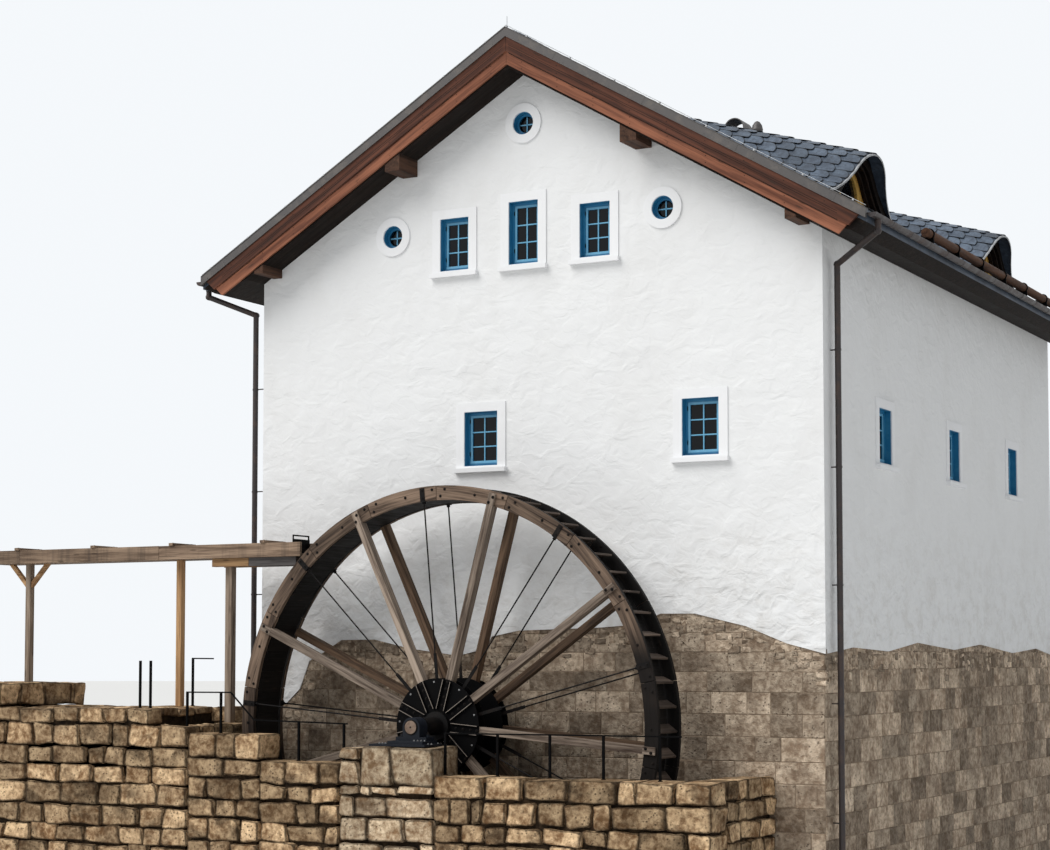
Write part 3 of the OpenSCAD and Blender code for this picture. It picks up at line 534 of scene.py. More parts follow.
zinc = metal("zinc", paint(80, 77, 76), paint(112, 106, 101), 0.6, 0.35)
bright_zinc = metal("bright_zinc", paint(176, 178, 180), paint(120, 118, 116), 0.4, 0.6)
black_steel = metal("black_steel", paint(7, 7, 8), paint(15, 13, 12), 0.4, gloss=0.05, rough=0.6)
blue_steel = metal("blue_steel", paint(16, 21, 30), paint(28, 30, 36), 0.5, gloss=0.2, rough=0.55)
rod_steel = metal("rod_steel", paint(14, 12, 12), paint(40, 32, 27), 0.5, gloss=0.12, rough=0.6)
edge_steel = metal("edge_steel", paint(132, 122, 112), paint(70, 62, 56), 0.6)
pipe_copper = metal("pipe_copper", paint(50, 44, 44), paint(84, 68, 60), 0.6, 0.25)
shaft_steel = metal("shaft_steel", paint(14, 13, 13), paint(32, 26, 23), 0.5, gloss=0.15, rough=0.5)
rust = metal("rust", paint(128, 108, 92), paint(72, 48, 36), 0.7, 0.2, 0.003)
bolt_steel = metal("bolt_steel", paint(150, 150, 150), paint(92, 84, 78), 0.5, 0.6)
nail_steel = metal("nail_steel", paint(18, 15, 13), paint(40, 30, 24), 0.5, gloss=0.15, rough=0.6)
blue_paint = metal("blue_paint", paint(28, 112, 156), paint(60, 136, 172), 0.5, 0.0, 0.001, 0.5, 0.4)
light_blue_paint = metal("light_blue_paint", paint(104, 170, 204), paint(136, 190, 214),
                         0.5, 0.0, 0.001, 0.5, 0.4)

def dormer_boards():
    """Golden boards, whose gold is a painted reflection of yellow trees, close the dormer, and the arched
    steps before them are painted nearly black for the shade under the overhang.
    """
    finish = Finish("dormer_timber", Specular_IOR_Level=0.15)
    tree, part = finish.tree, axes_of(finish.tree, finish.place)
    step_x, board = 4.88, 0.14
    upright = grain_axes(finish, "Z")
    # painted reflection: the gold stands for yellow trees mirrored at the dormer
    gold_reflection = finish.use(timber_grain, Place=upright, Light=paint(222, 184, 104), Dark=paint(164, 122, 56),
                      Age=0.3)
    # painted shade: the arched steps beyond step_x, under the overhang, are nearly black
    step_shade = finish.use(timber_grain, Place=upright, Light=paint(42, 32, 27), Dark=paint(18, 14, 12), Age=0.4)
    shaded_step = spread(tree, calc(tree, "ABSOLUTE", part[0]), step_x - 0.002, step_x + 0.002)
    seam = spread(tree, calc(tree, "PINGPONG", part[1], board / 2), 0.004, 0.0)
    colour = mixed(tree, shaded_step, gold_reflection["Color"], step_shade["Color"])
    colour = mixed(tree, times(tree, seam, 0.7), colour, paint(60, 40, 18))
    finish.feed("Base Color", colour)
    finish.feed("Roughness", gold_reflection["Roughness"])
    finish.bump(calc(tree, "SUBTRACT", gold_reflection["Height"], seam), 0.5, 0.005)
    return finish.material


dormer_timber = dormer_boards()


def glass(name, room_shade, rough):
    finish = Finish(name, Transmission_Weight=0.02, IOR=1.45, Base_Color=room_shade, Specular_IOR_Level=0.25)
    haze = cloud(finish.tree, finish.place, (3.0,) * 3, 3, 0.5)
    finish.feed("Roughness", spread(finish.tree, haze, 0.3, 0.7, rough, rough + 0.05))
    return finish.material


# painted shade: the panes are nearly black and almost opaque, for the dark rooms behind them
pane = glass("pane", paint(10, 13, 17), 0.03)
print("metal, paint and glass ready")

# %% Dress the solids
dress = (
    (plaster, "plaster_coat"),
    (wall_mortar, "front_wall", "rear_wall", "left_wall", "right_wall"),
    (floor_stone, "base_floor"),
    (floor_timber, "first_floor", "upper_floor"),
    (slate_finish, "roof_left", "roof_right", "ridge_cap"),
    (dark_boards, "soffit_left", "soffit_right", "dormer_roofs"),
    (purlin_timber, "purlins"),
    (barge_timber, "barge_boards"),
    (zinc, "verge_flashing", "roof_vents"),
    (pipe_copper, "gutters", "downpipes"),
    (dormer_timber, "dormer_frames"),
    (pane, "dormer_glass", "window_glass"),
    (log_timber, "snow_guard_logs"),
    (trim_plaster, "window_surrounds", "window_sills"),
    (blue_paint, "window_frames"),
    (door_timber, "rear_door"),
    (mortar, "pit_wall_left", "pit_wall_right", "bearing_pier", "flume_abutment"),
    (trough_timber, "flume_trough"),
    (post_timber, "flume_posts"),
    (blue_steel, "bearing_base", "bearing_housing"),
    (black_steel, "snow_guard_brackets", "flume_gate", "wall_bearing", "pit_railing_right",
     "pit_railing_left", "hub_plates"),
    (shaft_steel, "wheel_shaft"),
    (arm_timber, "arms_front"),
    (back_timber, "arms_back"),
    (rim_timber, "rim_front", "rim_back"),
    (wet_shaded_timber, "sole_boards", "bucket_boards"),
    (rod_steel, "tie_rods", "rim_straps"))
for finish, *names in dress:
    for name in names:
        for entry in nodes[name].material_slots:
            entry.material = finish
print("dressed", sum(len(row) - 1 for row in dress), "of", len(nodes))

# %% [markdown]
# ## A workbench for pieces
# A wall of two hundred stones is one object with two hundred small shapes in it. Each shape is made at
# the origin with its length along X, so that its own coordinates are its grain. Then it is set in place.
# The bench keeps the grain and a tone for every point, and writes both as attributes at the end.

# %% The workbench
def template(shape, name="shape"):
    """Turns a bmesh into a mesh, which can be copied."""
    mesh = bpy.data.meshes.new(name)
    shape.to_mesh(mesh)
    shape.free()
    return mesh


class Bench:
    """Gathers small shapes into one finished mesh that rides on a body."""
    def __init__(self, name, body, finishes, stands_for=()):
        self.name, self.body, self.finishes, self.stands_for = name, body, finishes, stands_for
        self.main = bmesh.new()
        self.grain, self.tone, self.edge, self.count = [], [], [], 0

    def put(self, shape, place=None, finish=None, tone=None, grain=None, edge=None):
        """shape is a bmesh, which is used up, or a mesh, which is kept for the next copy."""
        mesh = template(shape) if isinstance(shape, bmesh.types.BMesh) else shape.copy()
        if finish is not None:
            mesh.polygons.foreach_set("material_index", [finish] * len(mesh.polygons))
        shift = Vector([chance.uniform(-20, 20) for _ in range(3)])
        level = chance.random() if tone is None else tone
        turn = grain or Matrix()
        for vert in mesh.vertices:
            self.grain.extend(turn @ vert.co + shift)
        self.tone.extend([level] * len(mesh.vertices))
        self.edge.extend(edge or [0.0] * len(mesh.vertices))
        if place is not None:
            mesh.transform(place)
        self.main.from_mesh(mesh)
        bpy.data.meshes.remove(mesh)
        self.count += 1

    def done(self):
        mesh = template(self.main, self.name)
        mesh.attributes.new("grain", "FLOAT_VECTOR", "POINT").data.foreach_set("vector", self.grain)
        mesh.attributes.new("tone", "FLOAT", "POINT").data.foreach_set("value", self.tone)
        mesh.attributes.new("edge", "FLOAT", "POINT").data.foreach_set("value", self.edge)
        for finish in self.finishes:
            mesh.materials.append(finish)
        made = bpy.data.objects.new(self.name, mesh)
        bpy.context.scene.collection.objects.link(made)
        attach(made, self.body)
        if self.stands_for:
            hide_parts(*self.stands_for)
        mesh.calc_loop_triangles()
        print(f"{self.name}: {self.count} shapes, {len(mesh.loop_triangles)} triangles")


print("workbench ready")

# %% Simple shapes
def ease(shape, geom, width, segments=1, kind="EDGES", clamp=False):
    """Takes the sharpness off edges or corners."""
    bmesh.ops.bevel(shape, geom=geom, offset=width, offset_type="OFFSET", segments=segments, profile=0.5,
                    affect=kind, material=-1, clamp_overlap=clamp)


def block(length, width, height):
    """A plain box along X, its middle at the origin."""
    shape = bmesh.new()
    bmesh.ops.create_cube(shape, size=1.0)
    bmesh.ops.scale(shape, vec=(length, width, height), verts=shape.verts)
    return shape


def beam(length, width, height, edge=0.004, segments=1):
    """A sawn timber along X, its middle at the origin, with its sharp edges taken off."""
    shape = block(length, width, height)
    ease(shape, shape.edges[:], edge, segments, clamp=True)
    return shape


def span(x0, x1, y0, y1, z0, z1, edge=0.004, segments=1):
    """A bevelled box between two corners, and the place it goes to."""
    return beam(x1 - x0, y1 - y0, z1 - z0, edge, segments), Matrix.Translation(
        ((x0 + x1) / 2, (y0 + y1) / 2, (z0 + z1) / 2))


def disc(radius, depth, sides=12, edge=0.0):
    """A round head or washer along Z, from 0 to depth."""
    shape = bmesh.new()
    bmesh.ops.create_cone(shape, cap_ends=True, segments=sides, radius1=radius, radius2=radius, depth=depth)
    bmesh.ops.translate(shape, vec=(0, 0, depth / 2), verts=shape.verts)
    if edge:
        ease(shape, [e for e in shape.edges if all(v.co.z > depth / 2 for v in e.verts)], edge, 2)
    return shape


def bolt_head(size):
    """A washer, a hexagon nut and the end of the bolt, along Z."""
    shape = disc(size * 1.05, size * 0.16, 12)
    for part in (disc(size * 0.62, size * 0.55, 6, size * 0.05),
                 disc(size * 0.3, size * 0.95, 8, size * 0.06)):
        bmesh.ops.translate(part, vec=(0, 0, size * 0.15), verts=part.verts)
        mesh = template(part)
        shape.from_mesh(mesh)
        bpy.data.meshes.remove(mesh)
    return template(shape, "bolt_head")


def facing(spot, way):
    """The place of a shape whose Z looks along way."""
    turn = Vector(way).to_track_quat("Z", "Y").to_matrix().to_4x4()
    return Matrix.Translation(spot) @ turn


def turned(degrees, axis):
    """A turn about X, Y or Z."""
    return Matrix.Rotation(math.radians(degrees), 4, axis)


print("triangles in a bolt:", sum(len(face.vertices) - 2 for face in bolt_head(0.02).polygons))

# %% [markdown]
# ## The waterwheel
# The wheel is carpentry held by steel. Nine sawn arms on each side are clamped between discs, and every
# arm is halved at its outer end, so that it laps over the rim. The rim is sawn out of planks in curved
# segments called felloes, so the grain of each felloe is straight while its edge is round. A flat
# plank would show the same ring pattern all the way round, and nobody could build it.

# %% Sizes and places on the wheel
rim_outer = (corners("rim_front")[1][2] - corners("rim_front")[0][2]) / 2
rim_inner = rim_outer - 0.245
front_face, back_face = corners("arms_front")[0][1], corners("arms_back")[1][1]
front_rim_y, back_rim_y, wheel_mid_y = -8.33, -7.52, -7.925
first_arm = math.radians(-5)
arm_angles = [first_arm + math.radians(40 * i) for i in range(9)]
rod_angles = [a + math.radians(20) for a in arm_angles]
arm_width, arm_depth, rim_thick = 0.125, 0.17, 0.08


def on_wheel(angle, radius, y):
    """The place at an angle and a radius, with X pointing outwards and Z along the axle to the front."""
    turn = Matrix.Rotation(-angle, 4, "Y") @ turned(90, "X")
    return Matrix.Translation((axle_x, y, axle_z)) @ turn @ Matrix.Translation((radius, 0, 0))


print("rim", rim_inner, "to", rim_outer, "front is", on_wheel(0.3, 1, 0).to_3x3() @ Vector((0, 0, 1)))

# %% Arms
arm_start, arm_shoulder = 0.301, rim_inner - 0.002
lap_length, lap_thick, lap_middle = 0.225, 0.04, 3.885
lap_bolts = ((3.83, 0.03), (3.93, -0.03))


def wavy(shape, frequency, offset, depth):
    """Slow noise takes the ruler out of a long timber."""
    for vert in shape.verts:
        vert.co += noise.noise_vector(vert.co * frequency + offset) * depth


def weathered_end(shape, x_end, depth=0.012):
    """Rain opens the end grain, so the end of an arm is a little ragged."""
    for vert in shape.verts:
        if abs(vert.co.x - x_end) < 0.01:
            vert.co.x += chance.uniform(-depth, depth * 0.3)


def arms(name, outer_y, inward, finish, stands_for):
    """inward is 1 when the arm's outer face looks to -Y, and -1 for the set near the house."""
    bench = Bench(name, "wheel", [finish, nail_steel], (stands_for,))
    bolt = bolt_head(0.026)
    flip = Matrix() if inward > 0 else turned(180, "X")
    middle = (arm_shoulder + arm_start) / 2
    for angle in arm_angles:
        tone = chance.random()
        shape = beam(arm_shoulder - arm_start, arm_width, arm_depth, 0.006, 2)
        wavy(shape, 2.1, Vector((angle * 9, 0, outer_y)), 0.002)
        bench.put(shape, on_wheel(angle, middle, outer_y + inward * arm_depth / 2), 0, tone)
        head = beam(lap_length, arm_width, lap_thick, 0.005, 2)
        weathered_end(head, lap_length / 2)
        bench.put(head, on_wheel(angle, lap_middle, outer_y + inward * lap_thick / 2), 0, tone)
        for radius, side in lap_bolts:
            spot = on_wheel(angle, radius, outer_y) @ Matrix.Translation((0, side, 0))
            bench.put(bolt, spot @ flip, 1, 0.5)
    bench.done()


arms("arms_front_timber", front_face, 1, arm_timber, "arms_front")
arms("arms_back_timber", back_face, -1, back_timber, "arms_back")

# %% One felloe of a rim
felloe_count, felloe_start = 18, math.radians(71)
felloe_sweep, felloe_gap = math.radians(20), math.radians(0.06)


def felloe(start, sweep, thick, steps=8):
    """A curved segment: a rectangle swept round the axle, then its long edges are eased."""
    shape = bmesh.new()
    bmesh.ops.create_grid(shape, x_segments=1, y_segments=1, size=0.5)
    bmesh.ops.scale(shape, vec=(rim_outer - rim_inner, thick, 1), verts=shape.verts)
    bmesh.ops.rotate(shape, verts=shape.verts, matrix=turned(90, "X").to_3x3())
    bmesh.ops.translate(shape, vec=((rim_outer + rim_inner) / 2, 0, 0), verts=shape.verts)
    bmesh.ops.rotate(shape, verts=shape.verts, matrix=Matrix.Rotation(start, 3, "Z"))
    bmesh.ops.spin(shape, geom=shape.faces[:] + shape.edges[:] + shape.verts[:], cent=(0, 0, 0),
                   axis=(0, 0, 1), angle=sweep, steps=steps)
    bmesh.ops.recalc_face_normals(shape, faces=shape.faces)
    sharp = [e for e in shape.edges if len(e.link_faces) == 2 and e.calc_face_angle(0) > math.radians(60)]
    ease(shape, sharp, 0.006, 2)
    return shape


print("rim of", felloe_count, "felloes, each", round(math.degrees(felloe_sweep)), "degrees")

# %% Rims
# (share of the felloe's sweep, radius) of its bolts
felloe_bolts = ((0.06, 3.965), (0.12, 3.85), (0.88, 3.965), (0.94, 3.85), (0.45, 3.9))


def meets_arm_or_rod(angle):
    apart = [(angle - other + math.pi) % (2 * math.pi) - math.pi for other in arm_angles + rod_angles]
    return any(abs(gap) < 0.028 for gap in apart)


def rims(name, y_mid, inward, stands_for):
    """inward is the way to the buckets along the felloe's own Z."""
    bench = Bench(name, "wheel", [rim_timber, nail_steel, wet_shaded_timber], (stands_for,))
    bolt = bolt_head(0.024)
    for i in range(felloe_count):
        start = felloe_start + i * felloe_sweep
        shape = felloe(start + felloe_gap, felloe_sweep - 2 * felloe_gap, rim_thick)
        chord = Matrix.Rotation(math.radians(90) - (start + felloe_sweep / 2), 4, "Z")
        wavy(shape, 1.7, Vector((0, 0, y_mid * 3)), 0.0025)
        # the faces towards the buckets and the outer edge are always wet, and the near-black finish they take
        # paints the shade inside the wheel as well
        for face in shape.faces:
            outwards = Vector((face.calc_center_median().x, face.calc_center_median().y, 0)).normalized()
            if face.normal.z * inward > 0.5 or face.normal.dot(outwards) > 0.6:
                face.material_index = 2
        bench.put(shape, on_wheel(0, 0, y_mid), grain=chord)
        for side, way in ((rim_thick / 2, 0), (-rim_thick / 2, 180)):
            for share, radius in felloe_bolts:
                angle = start + felloe_sweep * share
                if not meets_arm_or_rod(angle):
                    spot = on_wheel(angle, radius, y_mid) @ Matrix.Translation((0, 0, side))
                    bench.put(bolt, spot @ turned(way, "X"), 1, 0.5)
    bench.done()


rims("rim_front_felloes", front_rim_y, -1, "rim_front")
rims("rim_back_felloes", back_rim_y, 1, "rim_back")

# %% [markdown]
# ## Buckets
# Sixty-three raked boards are let in between the rims, and a ring of sole boards closes the buckets
# towards the axle. All of them are wet most of the year. The sole is painted nearly black, for the wet
# and for the shade inside the wheel, and the raked boards are paler.

# %% Sole boards and bucket boards
bucket_count = 63
board_length, board_width, board_thick = 0.648, 0.2068, 0.034
sole_radius, sole_thick = 3.811, 0.036
bucket_root, bucket_rake = 3.833, math.radians(-38)


def sole():
    bench = Bench("sole_planks", "wheel", [wet_shaded_timber], ("sole_boards",))
    turn = math.radians(360 / bucket_count)
    width = 2 * (sole_radius - 0.001) * math.tan(turn / 2) - 0.003
    for i in range(bucket_count):
        board = beam(board_length, width, sole_thick, 0.003)
        place = on_wheel(first_arm + (i + 0.5) * turn, sole_radius, wheel_mid_y)
        bench.put(board, place @ turned(90, "Y"))
    bench.done()


def worn_edge(shape):
    """The water wears the sides of a board a little wavy."""
    for vert in shape.verts:
        vert.co.y += noise.noise(vert.co * 9 + Vector((chance.random(), 0, 0)) * 0.1) * 0.002


def buckets():
    bench = Bench("bucket_planks", "wheel", [board_timber], ("bucket_boards",))
    lift = Matrix.Translation((board_width / 2, board_thick / 2, 0))
    across = turned(90, "Y") @ turned(90, "X")
    for i in range(bucket_count):
        angle = math.radians(-5 + i * 360 / bucket_count)
        base = on_wheel(angle, bucket_root, wheel_mid_y) @ Matrix.Rotation(bucket_rake, 4, "Z")
        board = beam(board_length, board_width, board_thick, 0.004)
        worn_edge(board)
        bench.put(board, base @ lift @ across)
    bench.done()


sole()
buckets()

# %% Bolts on the discs, straps and rods
plate_thick, shaft_end = 0.022, shaft_low[1]
disc_bolts, rod_bolt, strap_bolts = (0.36, 0.5, 0.64, 0.76), 0.735, (3.84, 3.97)


def wheel_iron():
    bench = Bench("wheel_bolts", "wheel", [nail_steel, bolt_steel, edge_steel, rust])
    big, small, tiny = bolt_head(0.024), bolt_head(0.022), bolt_head(0.015)
    for face_y, out, way in ((front_face, -1, 0), (back_face, 1, 180)):
        flip = turned(way, "X")
        plate_y = face_y + out * plate_thick
        for angle in arm_angles:
            for radius in disc_bolts:
                bench.put(big, on_wheel(angle, radius, plate_y) @ flip, 0, 0.5)
            # the bare front edges of the fins beside each arm
            for side in (-1, 1):
                lift = Matrix.Translation((0.53, side * 0.0725, 0.044))
                strip = beam(0.5, 0.011, 0.004, 0.001)
                bench.put(strip, on_wheel(angle, 0, plate_y) @ flip @ lift, 2)
        for angle in rod_angles:
            bench.put(tiny, on_wheel(angle, rod_bolt, plate_y) @ flip, 1, 0.5)
        for angle in rod_angles:
            for radius in strap_bolts:
                bench.put(small, on_wheel(angle, radius, face_y - out * 0.03) @ flip, 0, 0.5)
    # the turned end of the shaft stands clear of the bearing and is only oiled now and then
    bench.put(disc(0.108, 0.004, 40, 0.003), facing((axle_x, shaft_end, axle_z), (0, -1, 0)), 3)
    bench.put(disc(0.016, 0.003, 16), facing((axle_x, shaft_end - 0.004, axle_z), (0, -1, 0)), 0)
    bench.done()


wheel_iron()

# %% [markdown]
# ## Rough masonry of the pit
# The pit walls are split sandstone: big blocks with a rounded, hammered face, laid in uneven courses,
# with open joints. A rounded block is a cube whose points are drawn towards a smaller cube inside it,
# and then pushed about by slow noise. Behind the open joints a core of old mortar keeps the light out.

# %% One hewn block
def hewn(size, round_by=0.045, rough=0.018, bulge=0.03, cuts=5, skew=0.028):
    """Returns the shape, and for every point how near it lies to an edge of the block."""
    shape = bmesh.new()
    bmesh.ops.create_cube(shape, size=2.0)
    bmesh.ops.subdivide_edges(shape, edges=shape.edges, cuts=cuts, use_grid_fill=True)
    half = Vector(size) / 2
    seed = Vector([chance.uniform(-50, 50) for _ in range(3)])
    reach = [min(round_by, half[i] * 0.45) for i in range(3)]
    corner = {key: Vector([chance.uniform(-skew, skew * 0.2) * sign for sign in key])
              for key in ((x, y, z) for x in (-1, 1) for y in (-1, 1) for z in (-1, 1))}
    near_edge = []
    for vert in shape.verts:
        # the points gather near the edges, where the block turns
        unit = Vector([math.copysign(abs(c) ** 0.6, c) for c in vert.co])
        near_edge.append(sorted(abs(c) for c in vert.co)[1] ** 4)
        spot = Vector([unit[i] * half[i] for i in range(3)])
        # round the edges: a point stays within reach of a smaller block inside
        inner = Vector([max(-half[i] + reach[i], min(half[i] - reach[i], spot[i])) for i in range(3)])
        out = Vector([(spot[i] - inner[i]) / reach[i] for i in range(3)])
        if out.length > 1:
            spot = inner + Vector([(spot[i] - inner[i]) / out.length for i in range(3)])
        # the middle of each face bulges
        for i in range(3):
            if abs(vert.co[i]) > 0.999:
                j, k = (i + 1) % 3, (i + 2) % 3
                crown = (1 - unit[j] ** 2) * (1 - unit[k] ** 2) - 0.6
                spot[i] += math.copysign(bulge * crown, vert.co[i])
        # each corner pulls its own way, so that no block is square
        for key, pull in corner.items():
            share = (1 + key[0] * unit.x) * (1 + key[1] * unit.y) * (1 + key[2] * unit.z) / 8
            spot += pull * share * 2
        chips = noise.noise_vector(spot * 4.5 + seed) + noise.noise_vector(spot * 12 + seed) * 0.6
        vert.co = spot + chips * rough
    for face in shape.faces:
        face.smooth = True
    return shape, near_edge


print("block tool ready")

# %% Joints and courses
def cuts_between(low, high, least, most, given=()):
    """Joints along a course: the given ones, and random ones where none are given."""
    joints = [low]
    for cut in given:
        if low + least * 0.4 < cut < high - least * 0.4:
            joints.append(cut)
    while high - joints[-1] > most:
        joints.append(joints[-1] + chance.uniform(least, most))
    if high - joints[-1] < least * 0.6 and len(joints) > 1:
        joints[-1] = (joints[-2] + high) / 2
    joints.append(high)
    return joints


def stretches(low, high, least, most):
    """The stones of a course, as pairs of joints."""
    return pairwise(cuts_between(low, high, least, most))


def courses(top, bottom, least=0.26, most=0.42):
    """Levels of the bed joints, from the top down."""
    levels = [top]
    while levels[-1] - bottom > most:
        levels.append(levels[-1] - chance.uniform(least, most))
    if levels[-1] - bottom < 0.12:
        levels[-1] = bottom
    else:
        levels.append(bottom)
    return levels


def block_between(bench, low, high, joint=0.006, flat_top=False, **shape_settings):
    """A stone fills the space between two corners, less its joint."""
    size = [high[i] - low[i] - joint for i in range(3)]
    if min(size) < 0.03:
        return
    shape, near_edge = hewn(size, **shape_settings)
    middle = [(high[i] + low[i]) / 2 for i in range(3)]
    if flat_top:
        top = size[2] / 2 + joint / 2
        for vert in shape.verts:
            if vert.co.z > top * 0.55:
                vert.co.z = min(vert.co.z + 0.012, top)
    bench.put(shape, Matrix.Translation(middle), 0, edge=near_edge)


def core(bench, low, high, inset=0.09):
    """Old mortar fills the wall behind its open joints."""
    shape = block(*[high[i] - low[i] - 2 * inset for i in range(3)])
    bench.put(shape, Matrix.Translation([(high[i] + low[i]) / 2 for i in range(3)]), 1)


def wall_of_blocks(bench, low, high, along=0, least=0.36, most=0.78, first=()):
    """A straight wall of through stones. first holds (level below, joints) of the top courses."""
    levels = [high[2]] + [row[0] for row in first]
    levels += courses(levels[-1], low[2])[1:]
    for row, (top, bottom) in enumerate(pairwise(levels)):
        given = first[row][1] if row < len(first) else ()
        joints = cuts_between(low[along], high[along], least, most if not given else 9, given)
        for a, b in pairwise(joints):
            start, end = list(low), list(high)
            start[along], end[along], start[2], end[2] = a, b, bottom, top
            block_between(bench, start, end, flat_top=row == 0)
    core(bench, low, high)


print("masonry tools ready")

# %% Right-hand pit wall with the tailrace arch
(pit_left, pit_front, _), (pit_right, _, walk_level) = corners("pit_wall_right")
pit_edge = pit_front + 0.7
arch_y, arch_z, arch_radius, arch_half = -7.9, 1.0, 0.74, 0.72
# (level below, joints) of the two top courses
right_courses = [(3.0, (0.70, 1.39, 2.19, 3.04, 3.34, 4.01)),
                 (2.6, (0.084, 0.435, 0.655, 1.11, 1.63, 2.13, 2.62, 2.94, 3.87))]


def right_pit_wall():
    bench = Bench("pit_stones_right", "house", [pit_stone, mortar], ("pit_wall_right",))
    wall_of_blocks(bench, (pit_left, pit_front, 0), (pit_right, pit_edge, walk_level), first=right_courses)
    # the end wall turns over the tailrace in a ring of wedge stones
    end_x = pit_right - 0.6
    for y0, y1 in ((pit_edge, arch_y - arch_half), (arch_y + arch_half, -stone_y)):
        wall_of_blocks(bench, (end_x, y0, 0), (pit_right, y1, 1.25), 1, 0.3, 0.6)
    wall_of_blocks(bench, (end_x, pit_edge, 1.75), (pit_right, -stone_y, walk_level), 1)
    for side in (-1, 1):
        y = arch_y + side * arch_half
        for level in (0.0, 0.34, 0.68):
            block_between(bench, (end_x, y - 0.12, level), (pit_right, y + 0.12, level + 0.34))
    centre = Matrix.Translation((pit_right - 0.3, arch_y, arch_z))
    for i in range(9):
        shape, near_edge = hewn((0.58, 0.26, 0.235))
        place = centre @ turned(10 + i * 20, "X") @ Matrix.Translation((0, arch_radius, 0))
        bench.put(shape, place, 0, edge=near_edge)
    bench.done()


right_pit_wall()

# %% Left-hand pit wall and the bearing pier
pier_left, _, _ = corners("bearing_pier")[0]
pier_back = corners("bearing_pier")[1][1]
pier_top, pier_shoulder = 3.79, 2.66
# (level below, level above, joints) of the upper courses
pier_courses = ((3.57, pier_top, (pier_left, -1.64)), (3.17, 3.57, (pier_left, -1.64)),
                (3.17, 3.81, (-1.64, -1.02, pit_left)),
                (3.02, 3.17, (pier_left, -1.62, -1.42, -0.92, pit_left)),
                (pier_shoulder, 3.02, (pier_left, -1.74, -1.11, pit_left)))


def left_pit_wall():
    bench = Bench("pit_stones_left", "house", [pit_stone, mortar], ("pit_wall_left",))
    (left, _, _), (right, _, top) = corners("pit_wall_left")
    step_x, step_level = -3.624, 3.52
    wall_of_blocks(bench, (left, pit_front, 0), (step_x, pit_edge, top))
    wall_of_blocks(bench, (step_x, pit_front, 0), (right, pit_edge, step_level),
                   first=[(3.14, (-3.12, -2.43, -2.13))])
    bench.done()


def pier():
    bench = Bench("pier_stones", "house", [pier_stone, mortar], ("bearing_pier",))
    for bottom, top, joints in pier_courses:
        for a, b in pairwise(joints):
            block_between(bench, (a, pit_front, bottom), (b, pier_back, top), flat_top=top > 3.7, rough=0.016)
    for top, bottom in pairwise(courses(pier_shoulder, 0, 0.3, 0.45)):
        for a, b in stretches(pier_left, pit_left, 0.4, 0.85):
            block_between(bench, (a, pit_front, bottom), (b, pier_back, top))
    core(bench, (pier_left, pit_front, 0), (pit_left, pier_back, pier_top))
    bench.done()


left_pit_wall()
pier()

# %% Abutment under the flume
(bank_left, bank_front, _), (bank_right, nook_back, step_level) = corners("flume_abutment")
bank_back, bank_level, shelf_level = -7.3, 4.37, 3.96
step_end, shelf_start, facing_thick = -9.3, -5.95, 0.42
flat_stone = {"flat_top": True, "bulge": 0.006, "rough": 0.006}


def bank_walls(bench):
    """The outer faces of the abutment, course by course."""
    levels = courses(bank_level, 0)
    for row, (top, bottom) in enumerate(pairwise(levels)):
        for front, back in ((bank_front, bank_front + facing_thick), (bank_back - facing_thick, bank_back)):
            for a, b in stretches(bank_left, bank_right, 0.4, 0.85):
                if row == 0 and b > -6.0 and front == bank_front:
                    b = min(b, shelf_start)
                    if b - a < 0.15:
                        continue
                block_between(bench, (a, front, bottom), (b, back, top), flat_top=row == 0)
        for left, right in ((bank_left, bank_left + facing_thick), (bank_right - facing_thick, bank_right)):
            if row == 0 and right == bank_right:
                continue
            for a, b in stretches(bank_front + facing_thick, bank_back - facing_thick, 0.4, 0.8):
                block_between(bench, (left, a, bottom), (right, b, top))
    return levels


def bank_tops(bench):
    """The low step at the far end, the paving of flat stones, and the shelf in the corner."""
    inner_front, inner_back = bank_front + facing_thick, bank_back - facing_thick
    for a, b in stretches(bank_left, step_end, 0.4, 0.8):
        for c, d in stretches(bank_front, bank_back, 0.45, 0.8):
            block_between(bench, (a, c, bank_level), (b, d, step_level), flat_top=True)
    for c, d in stretches(inner_front, inner_back, 0.38, 0.6):
        for a, b in stretches(step_end, shelf_start, 0.4, 0.9):
            block_between(bench, (a, c, bank_level - 0.17), (b, d, bank_level), **flat_stone)
    for a, b in stretches(inner_front, -7.7, 0.4, 0.7):
        block_between(bench, (shelf_start, a, shelf_level - 0.18), (-5.54, b, shelf_level), **flat_stone)
    block_between(bench, (shelf_start, -7.7, shelf_level), (bank_right, bank_back, bank_level), flat_top=True)
    for a, b in ((-6.0, -5.56), (-5.56, bank_right)):
        block_between(bench, (a, bank_back, 3.9), (b, nook_back, bank_level), flat_top=True)


def abutment():
    bench = Bench("abutment_stones", "house", [pit_stone, mortar], ("flume_abutment",))
    levels = bank_walls(bench)
    bank_tops(bench)
    core(bench, (bank_left, bank_front, 0), (bank_right, bank_back, shelf_level))
    core(bench, (bank_left, bank_front, 3.0), (shelf_start, bank_back, bank_level))
    # a narrow wall closes the nook between the abutment and the house
    nook_x = -coat_x
    core(bench, (nook_x, bank_back - 0.3, 0), (bank_right, nook_back + 0.02, bank_level))
    for top, bottom in pairwise(levels[1:]):
        block_between(bench, (nook_x, bank_back, bottom), (bank_right, nook_back - 0.01, top))
    bench.done()


abutment()

# %% [markdown]
# ## Squared stone behind the wheel
# Where the plaster has come away, the house shows its squared sandstone in level courses with thin
# joints. Each stone is a shallow slab that stands a centimetre off the core, with its edge eased. The
# slabs run on a little under the broken edge of the plaster.

